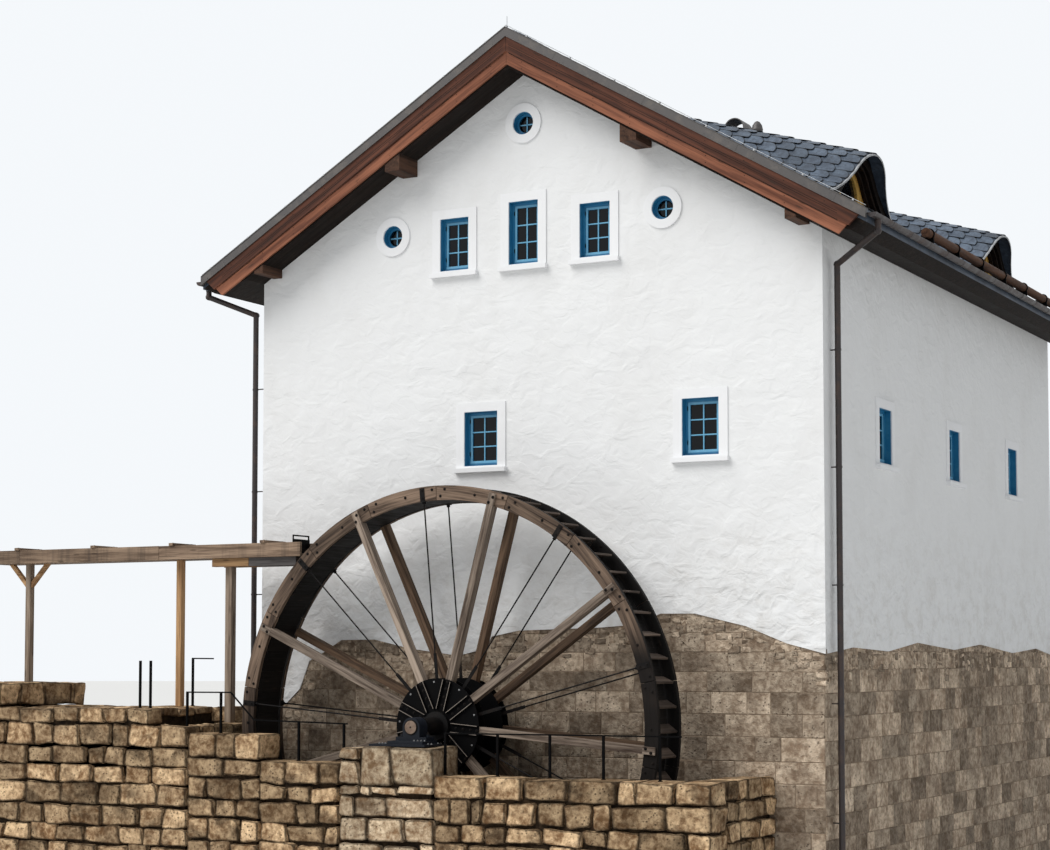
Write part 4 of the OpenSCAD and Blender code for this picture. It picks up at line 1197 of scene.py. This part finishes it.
# %% The four walls
# each place takes X along the wall, Z up and Y into the wall, from its stone face
walls = {"front": Matrix.Translation((0, -stone_y, 0)),
         "rear": Matrix.Translation((0, stone_y, 0)) @ turned(180, "Z"),
         "right": Matrix.Translation((stone_x, 0, 0)) @ turned(90, "Z"),
         "left": Matrix.Translation((-stone_x, 0, 0)) @ turned(-90, "Z")}
half_wall = {"front": stone_x, "rear": stone_x, "right": stone_y, "left": stone_y}
print("walls", {wall: 2 * half for wall, half in half_wall.items()})

# %% Ashlar
slab_joint, slab_depth, slab_ease = 0.009, 0.03, 0.007
front_stone_top, stone_top, door_half, door_top = 6.1, 5.7, 0.6, 2.35


def slab(width, height):
    """A squared stone without its back, its front edge eased."""
    shape = block(width, slab_depth, height)
    back = [f for f in shape.faces if f.normal.y > 0.9]
    bmesh.ops.delete(shape, geom=back, context="FACES_ONLY")
    front = [f for f in shape.faces if f.normal.y < -0.9][0]
    ease(shape, front.edges[:], slab_ease * chance.uniform(0.8, 1.8))
    return shape


def beside_holes(a, b, bottom, top, holes):
    """What is left of a stone from a to b where holes cut the course."""
    pieces = [(a, b)]
    for left, right, sill, head in holes:
        if bottom < head and top > sill:
            cut = [(p, q) for u, v in pieces for p, q in ((u, min(v, left)), (max(u, right), v))]
            pieces = [(p, q) for p, q in cut if q - p > 0.05]
    return pieces


def ashlar(wall, top, holes=()):
    bench = Bench("ashlar_" + wall, "house", [ashlar_stone])
    level = 0.0
    while level < top:
        rise = chance.uniform(0.3, 0.4)
        for a, b in stretches(-half_wall[wall], half_wall[wall], 0.38, 0.9):
            for p, q in beside_holes(a, b, level, level + rise, holes):
                lift = chance.uniform(0.004, 0.013)
                spot = Matrix.Translation(((p + q) / 2, slab_depth / 2 - lift, level + rise / 2))
                bench.put(slab(q - p - slab_joint, rise - slab_joint), walls[wall] @ spot)
        level += rise
    bench.done()


ashlar("front", front_stone_top)
ashlar("rear", stone_top, [(-door_half, door_half, 0.0, door_top)])
ashlar("right", stone_top)
ashlar("left", stone_top)

# %% [markdown]
# ## Windows
# Each casement has six small panes. The frame is a deep blue, and the sash inside it is paler, because
# its face stands further out and has weathered. The bars are slim and rounded.

# %% A casement
frame_inset, stile, lining = 0.052, 0.04, 0.009
sash_face, sash_back, bar_half, hinge_radius = 0.120, 0.15, 0.011, 0.008


def casement(bench, place, width, height):
    """place has X across, Z up from the bottom of the opening, and Y into the wall."""
    def bar(x0, x1, y0, y1, z0, z1, finish=0, edge=0.003):
        shape, spot = span(x0, x1, y0, y1, z0, z1, edge)
        bench.put(shape, place @ spot, finish)
    half, inset, face, inner = width / 2, frame_inset, sash_face, frame_inset + stile
    # the blue lining of the opening, which hides the cut masonry
    for x0, x1, z0, z1 in ((-half, -half + lining, 0, height), (half - lining, half, 0, height),
                           (-half, half, height - lining, height), (-half, half, 0, lining)):
        bar(x0, x1, 0.002, 0.112, z0, z1, 1, 0.002)
    bar(-half + inset, -half + inner, face, sash_back, inset, height - inset)
    bar(half - inner, half - inset, face, sash_back, inset, height - inset)
    bar(-half + inset, half - inset, face + 0.001, sash_back, height - inner, height - inset)
    bar(-half + inset, half - inset, face - 0.012, sash_back, inset, inset + 0.045)
    bar(-bar_half, bar_half, face + 0.006, 0.149, inner, height - inner)
    for i in (1, 2):
        level = inner + (height - 2 * inner) * i / 3
        bar(-half + inner, half - inner, face + 0.007, 0.149, level - bar_half, level + bar_half)
    # a small drip bar at the foot of the frame, and two pin hinges on the left
    bar(-half + 0.03, half - 0.03, 0.102, 0.115, 0.028, 0.042, 1)
    for level in (height * 0.2, height * 0.8):
        bench.put(disc(hinge_radius, 0.07, 8), place @ Matrix.Translation((-half + 0.05, 0.108, level)), 2)


print("six panes in a casement, bars of", 2 * bar_half, "m")

# %% A round window
bead_radius, round_lining_radius, round_bar = 0.14, 0.195, 0.285


def spun(profile, steps):
    """Turns an outline once round the Y axis."""
    bmesh.ops.spin(profile, geom=profile.edges[:] + profile.verts[:], cent=(0, 0, 0), axis=(0, 1, 0),
                   angle=2 * math.pi, steps=steps, use_merge=True)


def roundel(bench, place):
    """place has its origin in the middle of the window, and Y into the wall."""
    for turn in (0, 90):
        shape = beam(round_bar, 0.02, 0.024, 0.004)
        bench.put(shape, place @ turned(turn, "Y") @ Matrix.Translation((0, 0.135, 0)), 0)
    ring = bmesh.new()
    bmesh.ops.create_grid(ring, x_segments=1, y_segments=1, size=0.5)
    bmesh.ops.scale(ring, vec=(lining, 0.11, 1), verts=ring.verts)
    bmesh.ops.translate(ring, vec=(round_lining_radius, 0.057, 0), verts=ring.verts)
    spun(ring, 40)
    start_face = [f for f in ring.faces if abs(f.normal.z) > 0.999 and f.calc_area() > 0.0009]
    bmesh.ops.delete(ring, geom=start_face, context="FACES_ONLY")
    bmesh.ops.recalc_face_normals(ring, faces=ring.faces)
    bench.put(ring, place, 1)
    bead = bmesh.new()
    bmesh.ops.create_circle(bead, segments=10, radius=bar_half)
    bmesh.ops.translate(bead, vec=(bead_radius, 0, 0), verts=bead.verts)
    bmesh.ops.rotate(bead, verts=bead.verts, matrix=turned(90, "X").to_3x3())
    spun(bead, 36)
    bmesh.ops.recalc_face_normals(bead, faces=bead.faces)
    for face in bead.faces:
        face.smooth = True
    bench.put(bead, place @ Matrix.Translation((0, 0.112, 0)), 0)


print("round windows with beads of radius", bead_radius)

# %% Every window in its place
lower_sill, upper_sill = 8.585, 12.06
lower_width, upper_width, lower_height, upper_height, tall_height = 0.66, 0.574, 0.947, 0.93, 1.097
# (middle, sill, width, height) of the casements in a gable, and (middle, height) of the round windows
gable_lights = [(-1.38, upper_sill, upper_width, upper_height), (0, upper_sill, upper_width, tall_height),
                (1.38, upper_sill, upper_width, upper_height), (-0.84, lower_sill, lower_width, lower_height),
                (3.316, lower_sill, lower_width, lower_height)]
round_lights = [(-2.65, 12.77), (2.65, 12.77), (0, 14.52)]


def glaze():
    bench = Bench("window_sashes", "house", [light_blue_paint, blue_paint, black_steel])
    front = Matrix.Translation((0, -coat_y, 0))
    rear = Matrix.Translation((0, coat_y, 0)) @ turned(180, "Z")
    for x, z, width, height in gable_lights:
        casement(bench, front @ Matrix.Translation((x, 0, z)), width, height)
        casement(bench, rear @ Matrix.Translation((-x, 0, z)), width, height)
    for x, z in round_lights:
        roundel(bench, front @ Matrix.Translation((x, 0, z)))
        roundel(bench, rear @ Matrix.Translation((-x, 0, z)))
    for y in (-4, 0, 4):
        for side in (-1, 1):
            wall = Matrix.Translation((side * coat_x, y, lower_sill)) @ turned(side * 90, "Z")
            casement(bench, wall, lower_width, lower_height)
    bench.done()


glaze()

# %% [markdown]
# ## Slates
# The roof is laid in scale slates. Every slate has one long rounded corner, so the courses read as rows
# of fish scales that all lean the same way. Each slate is its own thin plate, tilted by the two below it.
# The eyebrow dormers carry the same slates laid round their curve: narrow plates follow the arch, and
# the courses stay square to the dormer's own ridge.

# %% Slate templates
lap, exposure, slate_turn = 0.08, 0.31, math.radians(3.6)


def slate_plate(width, length=0.39, thick=0.009):
    """Lies in X and Y with its free end at +Y, and reaches a lap's length behind the origin."""
    shape = bmesh.new()
    bmesh.ops.create_grid(shape, x_segments=1, y_segments=1, size=0.5)
    bmesh.ops.scale(shape, vec=(width, length, 1), verts=shape.verts)
    low = sorted((v for v in shape.verts if v.co.y > 0), key=lambda v: v.co.x)
    ease(shape, [low[0]], width * 0.72, 5, "VERTICES")
    low = max((v for v in shape.verts if v.co.y > 0), key=lambda v: v.co.x + v.co.y)
    ease(shape, [low], 0.018, 1, "VERTICES")
    bmesh.ops.translate(shape, vec=(0, length / 2 - lap, 0), verts=shape.verts)
    grown = bmesh.ops.extrude_face_region(shape, geom=shape.faces[:])["geom"]
    top = [g for g in grown if isinstance(g, bmesh.types.BMFace)]
    raised = [g for g in grown if isinstance(g, bmesh.types.BMVert)]
    bmesh.ops.translate(shape, vec=(0, 0, thick), verts=raised)
    bmesh.ops.recalc_face_normals(shape, faces=shape.faces)
    # an inset ring of faces on top marks the edge, which the finish darkens as a painted shadow line
    bmesh.ops.inset_region(shape, faces=top, thickness=0.02, use_even_offset=True)
    inner = {vert for face in top for vert in face.verts}
    near_edge = [0.0 if vert in inner else 1.0 for vert in shape.verts]
    bmesh.ops.rotate(shape, verts=shape.verts, matrix=Matrix.Rotation(slate_turn, 3, "X"))
    bmesh.ops.translate(shape, vec=(0, 0, 0.006), verts=shape.verts)
    return template(shape, "slate_plate"), near_edge


slates = {width: slate_plate(width) for width in (0.24, 0.27, 0.3)}
print("triangles in a slate:", sum(len(p.vertices) - 2 for p in slates[0.24][0].polygons))

# %% The curve of an eyebrow dormer
crown_radius, sweep_radius, dormer_rise = 0.9, 1.9, 1.0
crown_turn, dormer_tilt = math.radians(50), math.radians(16.7)
# the crown turns over into a curve whose centre stands this far to the side
sweep_centre = round(math.sqrt((crown_radius + sweep_radius) ** 2
                               - (sweep_radius - dormer_rise + crown_radius) ** 2), 4)
crown_arc = crown_radius * crown_turn
dormer_reach = crown_arc + sweep_radius * crown_turn
(_, _, dormer_level), (dormer_x, _, _) = corners("dormer_roofs")
dormer_middles = (-4.05, 4.05)


def eyebrow(arc):
    """Across, up and lean at a distance along the curve from its crown."""
    size = abs(arc)
    if size <= crown_arc:
        lean = size / crown_radius
        across = crown_radius * math.sin(lean)
        up = dormer_rise - crown_radius + crown_radius * math.cos(lean)
    else:
        lean = crown_turn - (size - crown_arc) / sweep_radius
        across = sweep_centre - sweep_radius * math.sin(lean)
        up = sweep_radius - sweep_radius * math.cos(lean)
    return math.copysign(across, arc), up, math.copysign(lean, arc)


def rise_at(across):
    """Height of the curve at a distance from its middle."""
    across = abs(across)
    if across < crown_radius * math.sin(crown_turn):
        return dormer_rise - crown_radius + math.sqrt(crown_radius ** 2 - across ** 2)
    inwards = min(sweep_radius, max(0.0, sweep_centre - across))
    return sweep_radius - math.sqrt(sweep_radius ** 2 - inwards ** 2)


def under_dormer(x, y):
    """How far the slates of a dormer stand above the slope at this place."""
    back = dormer_x - abs(x)
    if back < -0.03:
        return -1.0
    best = max(rise_at(y - middle) for middle in dormer_middles)
    return back * math.tan(dormer_tilt) + (best - 0.025) / math.cos(dormer_tilt) - back * fall


print("dormer curve", round(2 * dormer_reach, 2), "m long, foot at", sweep_centre)

# %% Slates of the two slopes
roof_start, roof_end = -7.46, 7.44
slope_length = eaves_x / math.cos(pitch)


def slope_slates(side):
    """side is 1 for the right-hand slope and -1 for the left-hand one."""
    bench = Bench("slates_right" if side > 0 else "slates_left", "house", [slate_finish])
    axes = Matrix(((0, side * math.cos(pitch), side * math.sin(pitch)), (-side, 0, 0),
                   (0, -math.sin(pitch), math.cos(pitch)))).to_4x4()
    course = 0
    down = slope_length - 0.295
    while down > 0.05:
        y = roof_start + (course % 2) * 0.11
        out, drop = down * math.cos(pitch), down * math.sin(pitch)
        while y < roof_end:
            width = chance.choice((0.24, 0.27, 0.27, 0.3))
            middle = y + width / 2
            if under_dormer(side * (down + lap) * math.cos(pitch), middle) < 0.03:
                place = Matrix.Translation((side * out, middle, ridge_height - drop))
                sway = turned(chance.uniform(-0.9, 0.9), "Z")
                mesh, near_edge = slates[width]
                bench.put(mesh, place @ axes @ sway, tone=chance.gauss(0.5, 0.25), edge=near_edge)
            y += width + 0.004
        down -= exposure
        course += 1
    bench.done()


slope_slates(1)
slope_slates(-1)

# %% Places on a dormer
def on_dormer(base, back, arc):
    """The place on the curve, with X along the arch, Y to the front and Z off the slates."""
    across, up, lean = eyebrow(arc)
    return base @ Matrix(((0, 1, 0, -back), (-math.cos(lean), 0, math.sin(lean), across),
                          (math.sin(lean), 0, math.cos(lean), up - 0.025), (0, 0, 0, 1)))


def dormer_bases():
    """A place at the foot of each dormer's front, tilted like its ridge."""
    for side in (0, 180):
        for y in dormer_middles:
            spot = turned(side, "Z") @ Matrix.Translation((dormer_x, y, dormer_level))
            yield spot @ Matrix.Rotation(dormer_tilt, 4, "Y")


print("dormers:", len(list(dormer_bases())))

# %% Slates of the dormers, and the metal strip at their front edges
strip_count, narrow_slate = 98, 0.24


def scales(bench, base):
    """The rows of a dormer, which stop where they come down to the slope."""
    mesh, near_edge = slates[narrow_slate]
    back, course = 0.32, 0
    while back < 4.4:
        arc = -dormer_reach + (course % 2) * narrow_slate / 2
        while arc < dormer_reach:
            place = on_dormer(base, back, arc + narrow_slate / 2)
            spot = place @ Vector((0, 0.1, 0))
            if spot.z > ridge_height - fall * abs(spot.x) + 0.004:
                bench.put(mesh, place, 0, chance.gauss(0.5, 0.25), edge=near_edge)
            arc += narrow_slate
        back += exposure
        course += 1


def dormer_slates():
    bench = Bench("slates_dormers", "house", [slate_finish, bright_zinc])
    # the starter course closes the gaps under the first row of scales, then come the strip and its lip
    edge_pieces = ((template(block(0.24, 0.062, 0.008)), (0, -0.12, 0.006), 0, 0.3),
                   (template(block(0.03, 0.07, 0.004)), (0, 0.004, 0.012), 1, 0.5),
                   (template(block(0.006, 0.07, 0.026)), (0, 0.018, -0.004), 1, 0.5))
    for base in dormer_bases():
        scales(bench, base)
        for i in range(strip_count):
            arc = -dormer_reach + 0.03 + i * (2 * dormer_reach - 0.06) / (strip_count - 1)
            for mesh, lift, finish, tone in edge_pieces:
                place = on_dormer(base, 0, arc) @ Matrix.Translation(lift) @ turned(90, "Z")
                bench.put(mesh, place, finish, tone)
    bench.done()


dormer_slates()

# %% Ridge slates
def ridge():
    bench = Bench("slates_ridge", "house", [slate_finish])
    for side in (1, -1):
        y = -7.42 if side > 0 else -7.30
        while y < 7.3:
            shape = beam(0.3, 0.24, 0.008, 0.002)
            slant = Matrix.Rotation(side * pitch, 4, "Y") @ Matrix.Translation((side * 0.125, 0, 0.04)) \
                @ turned(2.2, "X") @ turned(90, "Z")
            place = Matrix.Translation((0, y + 0.12, ridge_height)) @ slant
            bench.put(shape, place, tone=chance.gauss(0.5, 0.2))
            y += 0.22
    bench.done()


ridge()

# %% [markdown]
# ## The verge
# A roof's edge is weathered from above, so a folded metal flashing covers the ends of the slates and the
# top of the barge board. It is riveted in lengths, its lower edge is turned up into a bead that
# catches the light, and the lightning wire runs along it in clips up to a small rod at the apex.

# %% Places on the verge
flashing_face, board_face = corners("verge_flashing")[1][1], corners("barge_boards")[1][1]
lower_board_face = board_face - 0.02


def on_verge(side, x, drop, y):
    """X runs down the slope at a plumb drop under the roof's top edge, and Z is square to it."""
    axes = Matrix(((side * math.cos(pitch), 0, side * math.sin(pitch)), (0, side, 0),
                   (-math.sin(pitch), 0, math.cos(pitch)))).to_4x4()
    return Matrix.Translation((side * x, y, ridge_height - fall * x - drop)) @ axes


def rivet_spot(gable, side, x, drop, depth):
    """A place under the roof's top edge, which faces out of the gable."""
    return facing((side * x, gable * depth, ridge_height - fall * x - drop), (0, gable, 0))


print("flashing at", flashing_face, "boards at", board_face)

# %% Flashing, wire and nails
# (drop under the roof's top edge, face) of the painted shadow lines at the joints between the boards, and of
# their rows of nails
board_shadow_lines = ((0.265, board_face), (0.3, board_face), (0.4, board_face), (0.412, lower_board_face))
nail_rows = ((0.21, board_face), (0.34, board_face), (0.45, lower_board_face), (0.565, lower_board_face))
rivet = template(disc(0.007, 0.004, 8), "rivet")


def verge_lengths(bench, gable, side):
    """The rolled edge, the dark strips that paint the shadow at the joints between the boards, the hem on top
    and the wire.
    """
    face, half_way = gable * flashing_face, eaves_x / 2
    rolled = beam(slope_length, 0.01, 0.01, 0.003, 2)
    bench.put(rolled, on_verge(side, half_way, 0.139, face + gable * 0.003), 0)
    for drop, depth in board_shadow_lines:
        # painted shadow: a thin dark strip stands for the shade in each joint
        joint = beam(slope_length - 0.6, 0.002, 0.007, 0.0008)
        bench.put(joint, on_verge(side, 3.0, drop, gable * (depth + 0.0005)), 2)
    hem = beam(slope_length, 0.014, 0.012, 0.004, 2)
    bench.put(hem, on_verge(side, half_way, -0.022, face + gable * 0.002), 0)
    wire = beam(slope_length, 0.01, 0.01, 0.004, 2)
    bench.put(wire, on_verge(side, half_way, -0.06, face - gable * 0.03), 1)


def verge_fixings(bench, gable, side):
    """The clips of the wire, the seams of the flashing, its rivets, and the nails of the boards."""
    face = gable * flashing_face
    for i in range(8):
        x = 0.4 + i * 0.83
        clip = beam(0.03, 0.03, 0.045, 0.004)
        bench.put(clip, on_verge(side, x, -0.042, face - gable * 0.03), 1)
        if i % 2:
            seam = beam(0.03, 0.003, 0.155, 0.001)
            bench.put(seam, on_verge(side, x - 0.3, 0.06, face + gable * 0.001), 0)
    for i in range(15):
        drop = 0.03 if i % 2 else 0.1
        bench.put(rivet, rivet_spot(gable, side, 0.25 + i * 0.43, drop, flashing_face), 0)
    for i in range(9):
        x = 0.3 + i * 0.68
        # the lower boards end before the eaves
        for drop, depth in nail_rows[:2] if x > 5.6 else nail_rows:
            bench.put(rivet, rivet_spot(gable, side, x, drop, depth), 2)


def verges():
    bench = Bench("verge_details", "house", [zinc, bright_zinc, nail_steel, rod_steel])
    for gable in (-1, 1):
        for side in (1, -1):
            verge_lengths(bench, gable, side)
            verge_fixings(bench, gable, side)
        # a dark strip paints the shadow of the plumb joint where the boards of the two slopes meet; then the
        # rod of the lightning wire
        for depth, low, high in ((board_face, 0.395, 0.142), (lower_board_face, 0.615, 0.4)):
            y = gable * (depth + 0.0015)
            shadow_line, place = span(-0.002, 0.002, y - 0.001, y + 0.001, ridge_height - low, ridge_height - high,
                               0.0005)
            bench.put(shadow_line, place, 2)
        for radius, height, lift in ((0.006, 0.2, 0.02), (0.018, 0.03, 0.03)):
            spot = Matrix.Translation((0, gable * 7.6, ridge_height + lift))
            bench.put(disc(radius, height, 8 if radius < 0.01 else 10), spot, 1)
    bench.done()


verges()

# %% [markdown]
# ## The flume
# The trough is planks on edge, bolted between flat cross-bars, on square posts. Each timber has aged in
# its own way: some are still tan, some have gone silver. So each one gets its own grain and tone.

# %% A knee brace
def cut_off(shape, spot, normal):
    """Cuts a shape at a plane and closes the cut."""
    cut = bmesh.ops.bisect_plane(shape, geom=shape.verts[:] + shape.edges[:] + shape.faces[:],
                                 plane_co=spot, plane_no=normal, clear_outer=True)
    rim = [e for e in cut["geom_cut"] if isinstance(e, bmesh.types.BMEdge)]
    bmesh.ops.edgeloop_fill(shape, edges=rim)


def strut(start, end, thick):
    """A brace between two points, cut off plumb at its start and level at its end."""
    start, end = Vector(start), Vector(end)
    along = end - start
    shape = beam(along.length + 0.3, thick, thick, 0.004)
    turn = along.to_track_quat("X", "Z").to_matrix().to_4x4()
    bmesh.ops.transform(shape, matrix=Matrix.Translation((start + end) / 2) @ turn, verts=shape.verts)
    cut_off(shape, (start.x, 0, 0), (-1 if end.x > start.x else 1, 0, 0))
    cut_off(shape, (0, 0, end.z), (0, 0, 1))
    bmesh.ops.recalc_face_normals(shape, faces=shape.faces)
    return shape


print("knee braces can be cut to fit")

# %% Flume timbers
(_, bar_front, joist_low), (_, bar_rear, bar_top) = corners("flume_trough")
trough_base = corners("flume_posts")[1][2]
side_front, side_rear, board, flume_middle = bar_front + 0.03, bar_rear - 0.03, 0.06, -7.9
side_top = bar_top - 0.05
# the planks are laid in three lengths
plank_ends = ((-10.9, -10.21), (-10.205, -6.9), (-6.895, -3.8))
# (left, right, half of the depth, foot, head, finish, tone) of the three posts
posts = ((-10.26, -10.145, 0.06, step_level, trough_base, 2, None),
         (-6.682, -6.567, 0.06, bank_level, trough_base, 1, 0.7),
         (-5.576, -5.436, 0.07, shelf_level, joist_low, 2, 0.8))


def timber_between(bench, x, y, z, finish, upright=False, tone=None):
    """x, y and z each hold the low and the high end. The grain runs along the timber."""
    length, width, height = (high - low for low, high in (x, y, z))
    middle = Matrix.Translation([sum(ends) / 2 for ends in (x, y, z)])
    if upright:
        bench.put(beam(height, width, length, 0.005, 2), middle @ turned(90, "Y"), finish, tone)
    elif width > length:
        bench.put(beam(width, length, height, 0.004), middle @ turned(90, "Z"), finish, tone)
    else:
        bench.put(beam(length, width, height, 0.005, 2), middle, finish, tone)


def trough(bench):
    """Planks on edge, planks underneath, and cross-bars with their bolts."""
    for ends in plank_ends:
        lift = chance.uniform(-0.004, 0.004)
        timber_between(bench, ends, (side_front, side_front + board), (trough_base, side_top + lift), 0)
        timber_between(bench, ends, (side_rear - board, side_rear), (trough_base, side_top - lift), 0)
        timber_between(bench, ends, (side_front + board, flume_middle), (trough_base, trough_base + 0.05), 0)
        timber_between(bench, ends, (flume_middle + 0.002, side_rear - board),
                       (trough_base, trough_base + 0.049), 0)
    for x in (-10.254, -8.418, -6.602, -4.591):
        timber_between(bench, (x - 0.05, x + 0.05), (bar_front, bar_rear), (side_top, bar_top), 0, tone=0.8)
        for y in (bar_front + 0.06, bar_rear - 0.06):
            bench.put(disc(0.012, 0.006, 8), Matrix.Translation((x, y, bar_top)), 4)


def flume():
    bench = Bench("flume_timbers", "house", [trough_timber, post_timber, grey_post, iron_grey, nail_steel],
                  ("flume_trough", "flume_posts"))
    trough(bench)
    for y in (flume_middle - 0.18, flume_middle + 0.18):
        for ends, finish in (((-5.75, -4.95), 1), ((-4.945, -3.93), 3)):
            timber_between(bench, ends, (y - 0.06, y + 0.06), (joist_low, trough_base), finish)
    for left, right, half, foot, head, finish, tone in posts:
        y = (flume_middle - half, flume_middle + half)
        timber_between(bench, (left, right), y, (foot, head), finish, True, tone)
    # a bolster on the last post carries the joists
    left, right = posts[-1][:2]
    timber_between(bench, (left, right), (-8.0197, -7.7803), (joist_low, trough_base), 1)
    for face, reach in ((posts[0][1], 0.3775), (posts[0][0], -0.3775)):
        foot = (face, flume_middle, trough_base - 0.395)
        bench.put(strut(foot, (face + reach, flume_middle, trough_base), 0.08), None, 1)
    bench.done()


flume()

# %% [markdown]
# ## Small ironwork
# Bolts hold the bearing to its plates, and grout sets every railing post in the stone. The plates are
# bolted in two short rows in front of the housing, where a spanner can reach them.

# %% Bolts of the bearing
plate_top, near_row, far_row, cap_row = 3.846, -9.35, -9.02, -9.14


def bearing_bolts(bench):
    bolt, cap = bolt_head(0.02), bolt_head(0.034)
    for i in range(4):
        # the second row stands on a thicker plate
        for x, z in ((-1.42 + i * 0.06, plate_top), (-0.754 + i * 0.067, plate_top + 0.05)):
            bench.put(bolt, Matrix.Translation((x, near_row, z)), 0)
    for x in (-0.488, -0.425):
        bench.put(bolt, Matrix.Translation((x, near_row, plate_top)), 0)
    for x in (-1.42, -1.34, -0.5):
        bench.put(bolt, Matrix.Translation((x, far_row, plate_top)), 0)
    for side in (-1, 1):
        bench.put(cap, Matrix.Translation((axle_x + side * 0.245, cap_row, 4.0)), 2)
    bench.put(disc(0.128, 0.008, 40, 0.003), facing((axle_x, -9.27, axle_z), (0, -1, 0)), 2)


print("bolts of the bearing stand at", plate_top)

# %% Feet of the railings
rail_line, rear_rail_line, landing_level = -9.3, -7.45, 3.52
# (X of the posts, level of the stone that they stand in)
railings = (((0.772, 1.714, 2.654, 3.62, -0.195), walk_level), ((-5.384, -4.666), shelf_level),
            ((-3.049, -2.147), landing_level), ((-6.417, -6.189), bank_level))


def small_iron():
    bench = Bench("small_iron", "house", [bolt_steel, mortar, nail_steel, edge_steel])
    bearing_bolts(bench)
    feet = [(x, rail_line, level) for places, level in railings for x in places]
    for x, y, level in feet + [(-6.676, rear_rail_line, bank_level)]:
        bench.put(disc(0.04, 0.012, 14, 0.005), Matrix.Translation((x, y, level - 0.004)), 1)
    bench.done()


small_iron()

# %% Plank door at the rear
strap_face, handle_x, handle_z = 6.743, -0.47, 1.14


def rear_door():
    bench = Bench("rear_door_planks", "house", [door_timber, nail_steel], ("rear_door",))
    for i in range(6):
        place = Matrix.Translation((-0.5 + i * 0.2, 6.7175, 1.1735)) @ turned(90, "Y")
        bench.put(beam(2.345, 0.045, 0.194, 0.006, 2), place, 0)
    for z in (0.35, 1.15, 1.98):
        bench.put(beam(1.18, 0.028, 0.16, 0.005), Matrix.Translation((0, 6.683, z)), 0)
    nail = template(disc(0.009, 0.006, 8), "nail")
    for z in (0.42, 1.95):
        # a strap hinge, its pin and its nails
        bench.put(beam(0.95, 0.006, 0.055, 0.002), Matrix.Translation((0.11, strap_face, z)), 1)
        bench.put(disc(0.018, 0.09, 12), Matrix.Translation((0.58, strap_face + 0.005, z - 0.045)), 1)
        for i in range(6):
            bench.put(nail, facing((-0.3 + i * 0.16, strap_face + 0.003, z), (0, 1, 0)), 1)
    # the plate, the stem and the grip of the handle
    plate = Matrix.Translation((handle_x, strap_face, handle_z - 0.04))
    bench.put(beam(0.05, 0.006, 0.2, 0.003), plate, 1)
    bench.put(disc(0.011, 0.06, 12), facing((handle_x, strap_face + 0.002, handle_z), (0, 1, 0)), 1)
    grip = Matrix.Translation((handle_x + 0.05, strap_face + 0.057, handle_z))
    bench.put(beam(0.13, 0.014, 0.018, 0.006, 2), grip, 1)
    bench.done()


rear_door()

# %% [markdown]
# ## Rubble under the broken plaster
# Just below the plaster the squared courses are patched with small rubble. The stones follow the broken
# edge, so the edge is found first, with a ray that climbs the wall until it meets the plaster.

# %% Rubble bands
coat_mesh = nodes["plaster_coat"].data
coat = BVHTree.FromPolygons([v.co.copy() for v in coat_mesh.vertices],
                            [tuple(p.vertices) for p in coat_mesh.polygons])


def rubble(wall, half):
    bench = Bench("rubble_" + wall, "house", [ashlar_stone])
    place = walls[wall]
    x = 0.02 - half
    while x < half - 0.1:
        start = place @ Vector((x + 0.08, -0.015, 3.5))
        hit = coat.ray_cast(start, Vector((0, 0, 1)), 4.0)[0]
        width = chance.uniform(0.1, 0.26)
        level = (hit.z if hit else 5.4) + 0.05
        bottom = level - chance.uniform(0.25, 0.6)
        while level > bottom:
            rise = chance.uniform(0.09, 0.17)
            shape, near_edge = hewn((width - 0.012, 0.06, rise - 0.012), 0.02, 0.007, 0.008, 2, 0.012)
            jog = chance.uniform(-0.04, 0.04)
            spot = Matrix.Translation((x + width / 2 + jog, 0.012, level - rise / 2))
            bench.put(shape, place @ spot, 0, edge=[e * 0.7 for e in near_edge])
            level -= rise
        x += width
    bench.done()


for wall in walls:
    rubble(wall, half_wall[wall] - (0.03 if wall in ("front", "rear") else 0.02))

# %% Floor
def lay_floor():
    sheet = bmesh.new()
    bmesh.ops.create_grid(sheet, x_segments=1, y_segments=1, size=400)
    floor = bpy.data.objects.new("studio_floor", template(sheet, "studio_floor"))
    floor.location.z = -0.002
    bpy.context.scene.collection.objects.link(floor)
    finish = Finish("studio_floor", Roughness=0.95, Specular_IOR_Level=0.05, Base_Color=(0.8, 0.8, 0.79, 1))
    floor.data.materials.append(finish.material)
    print("floor laid")


lay_floor()
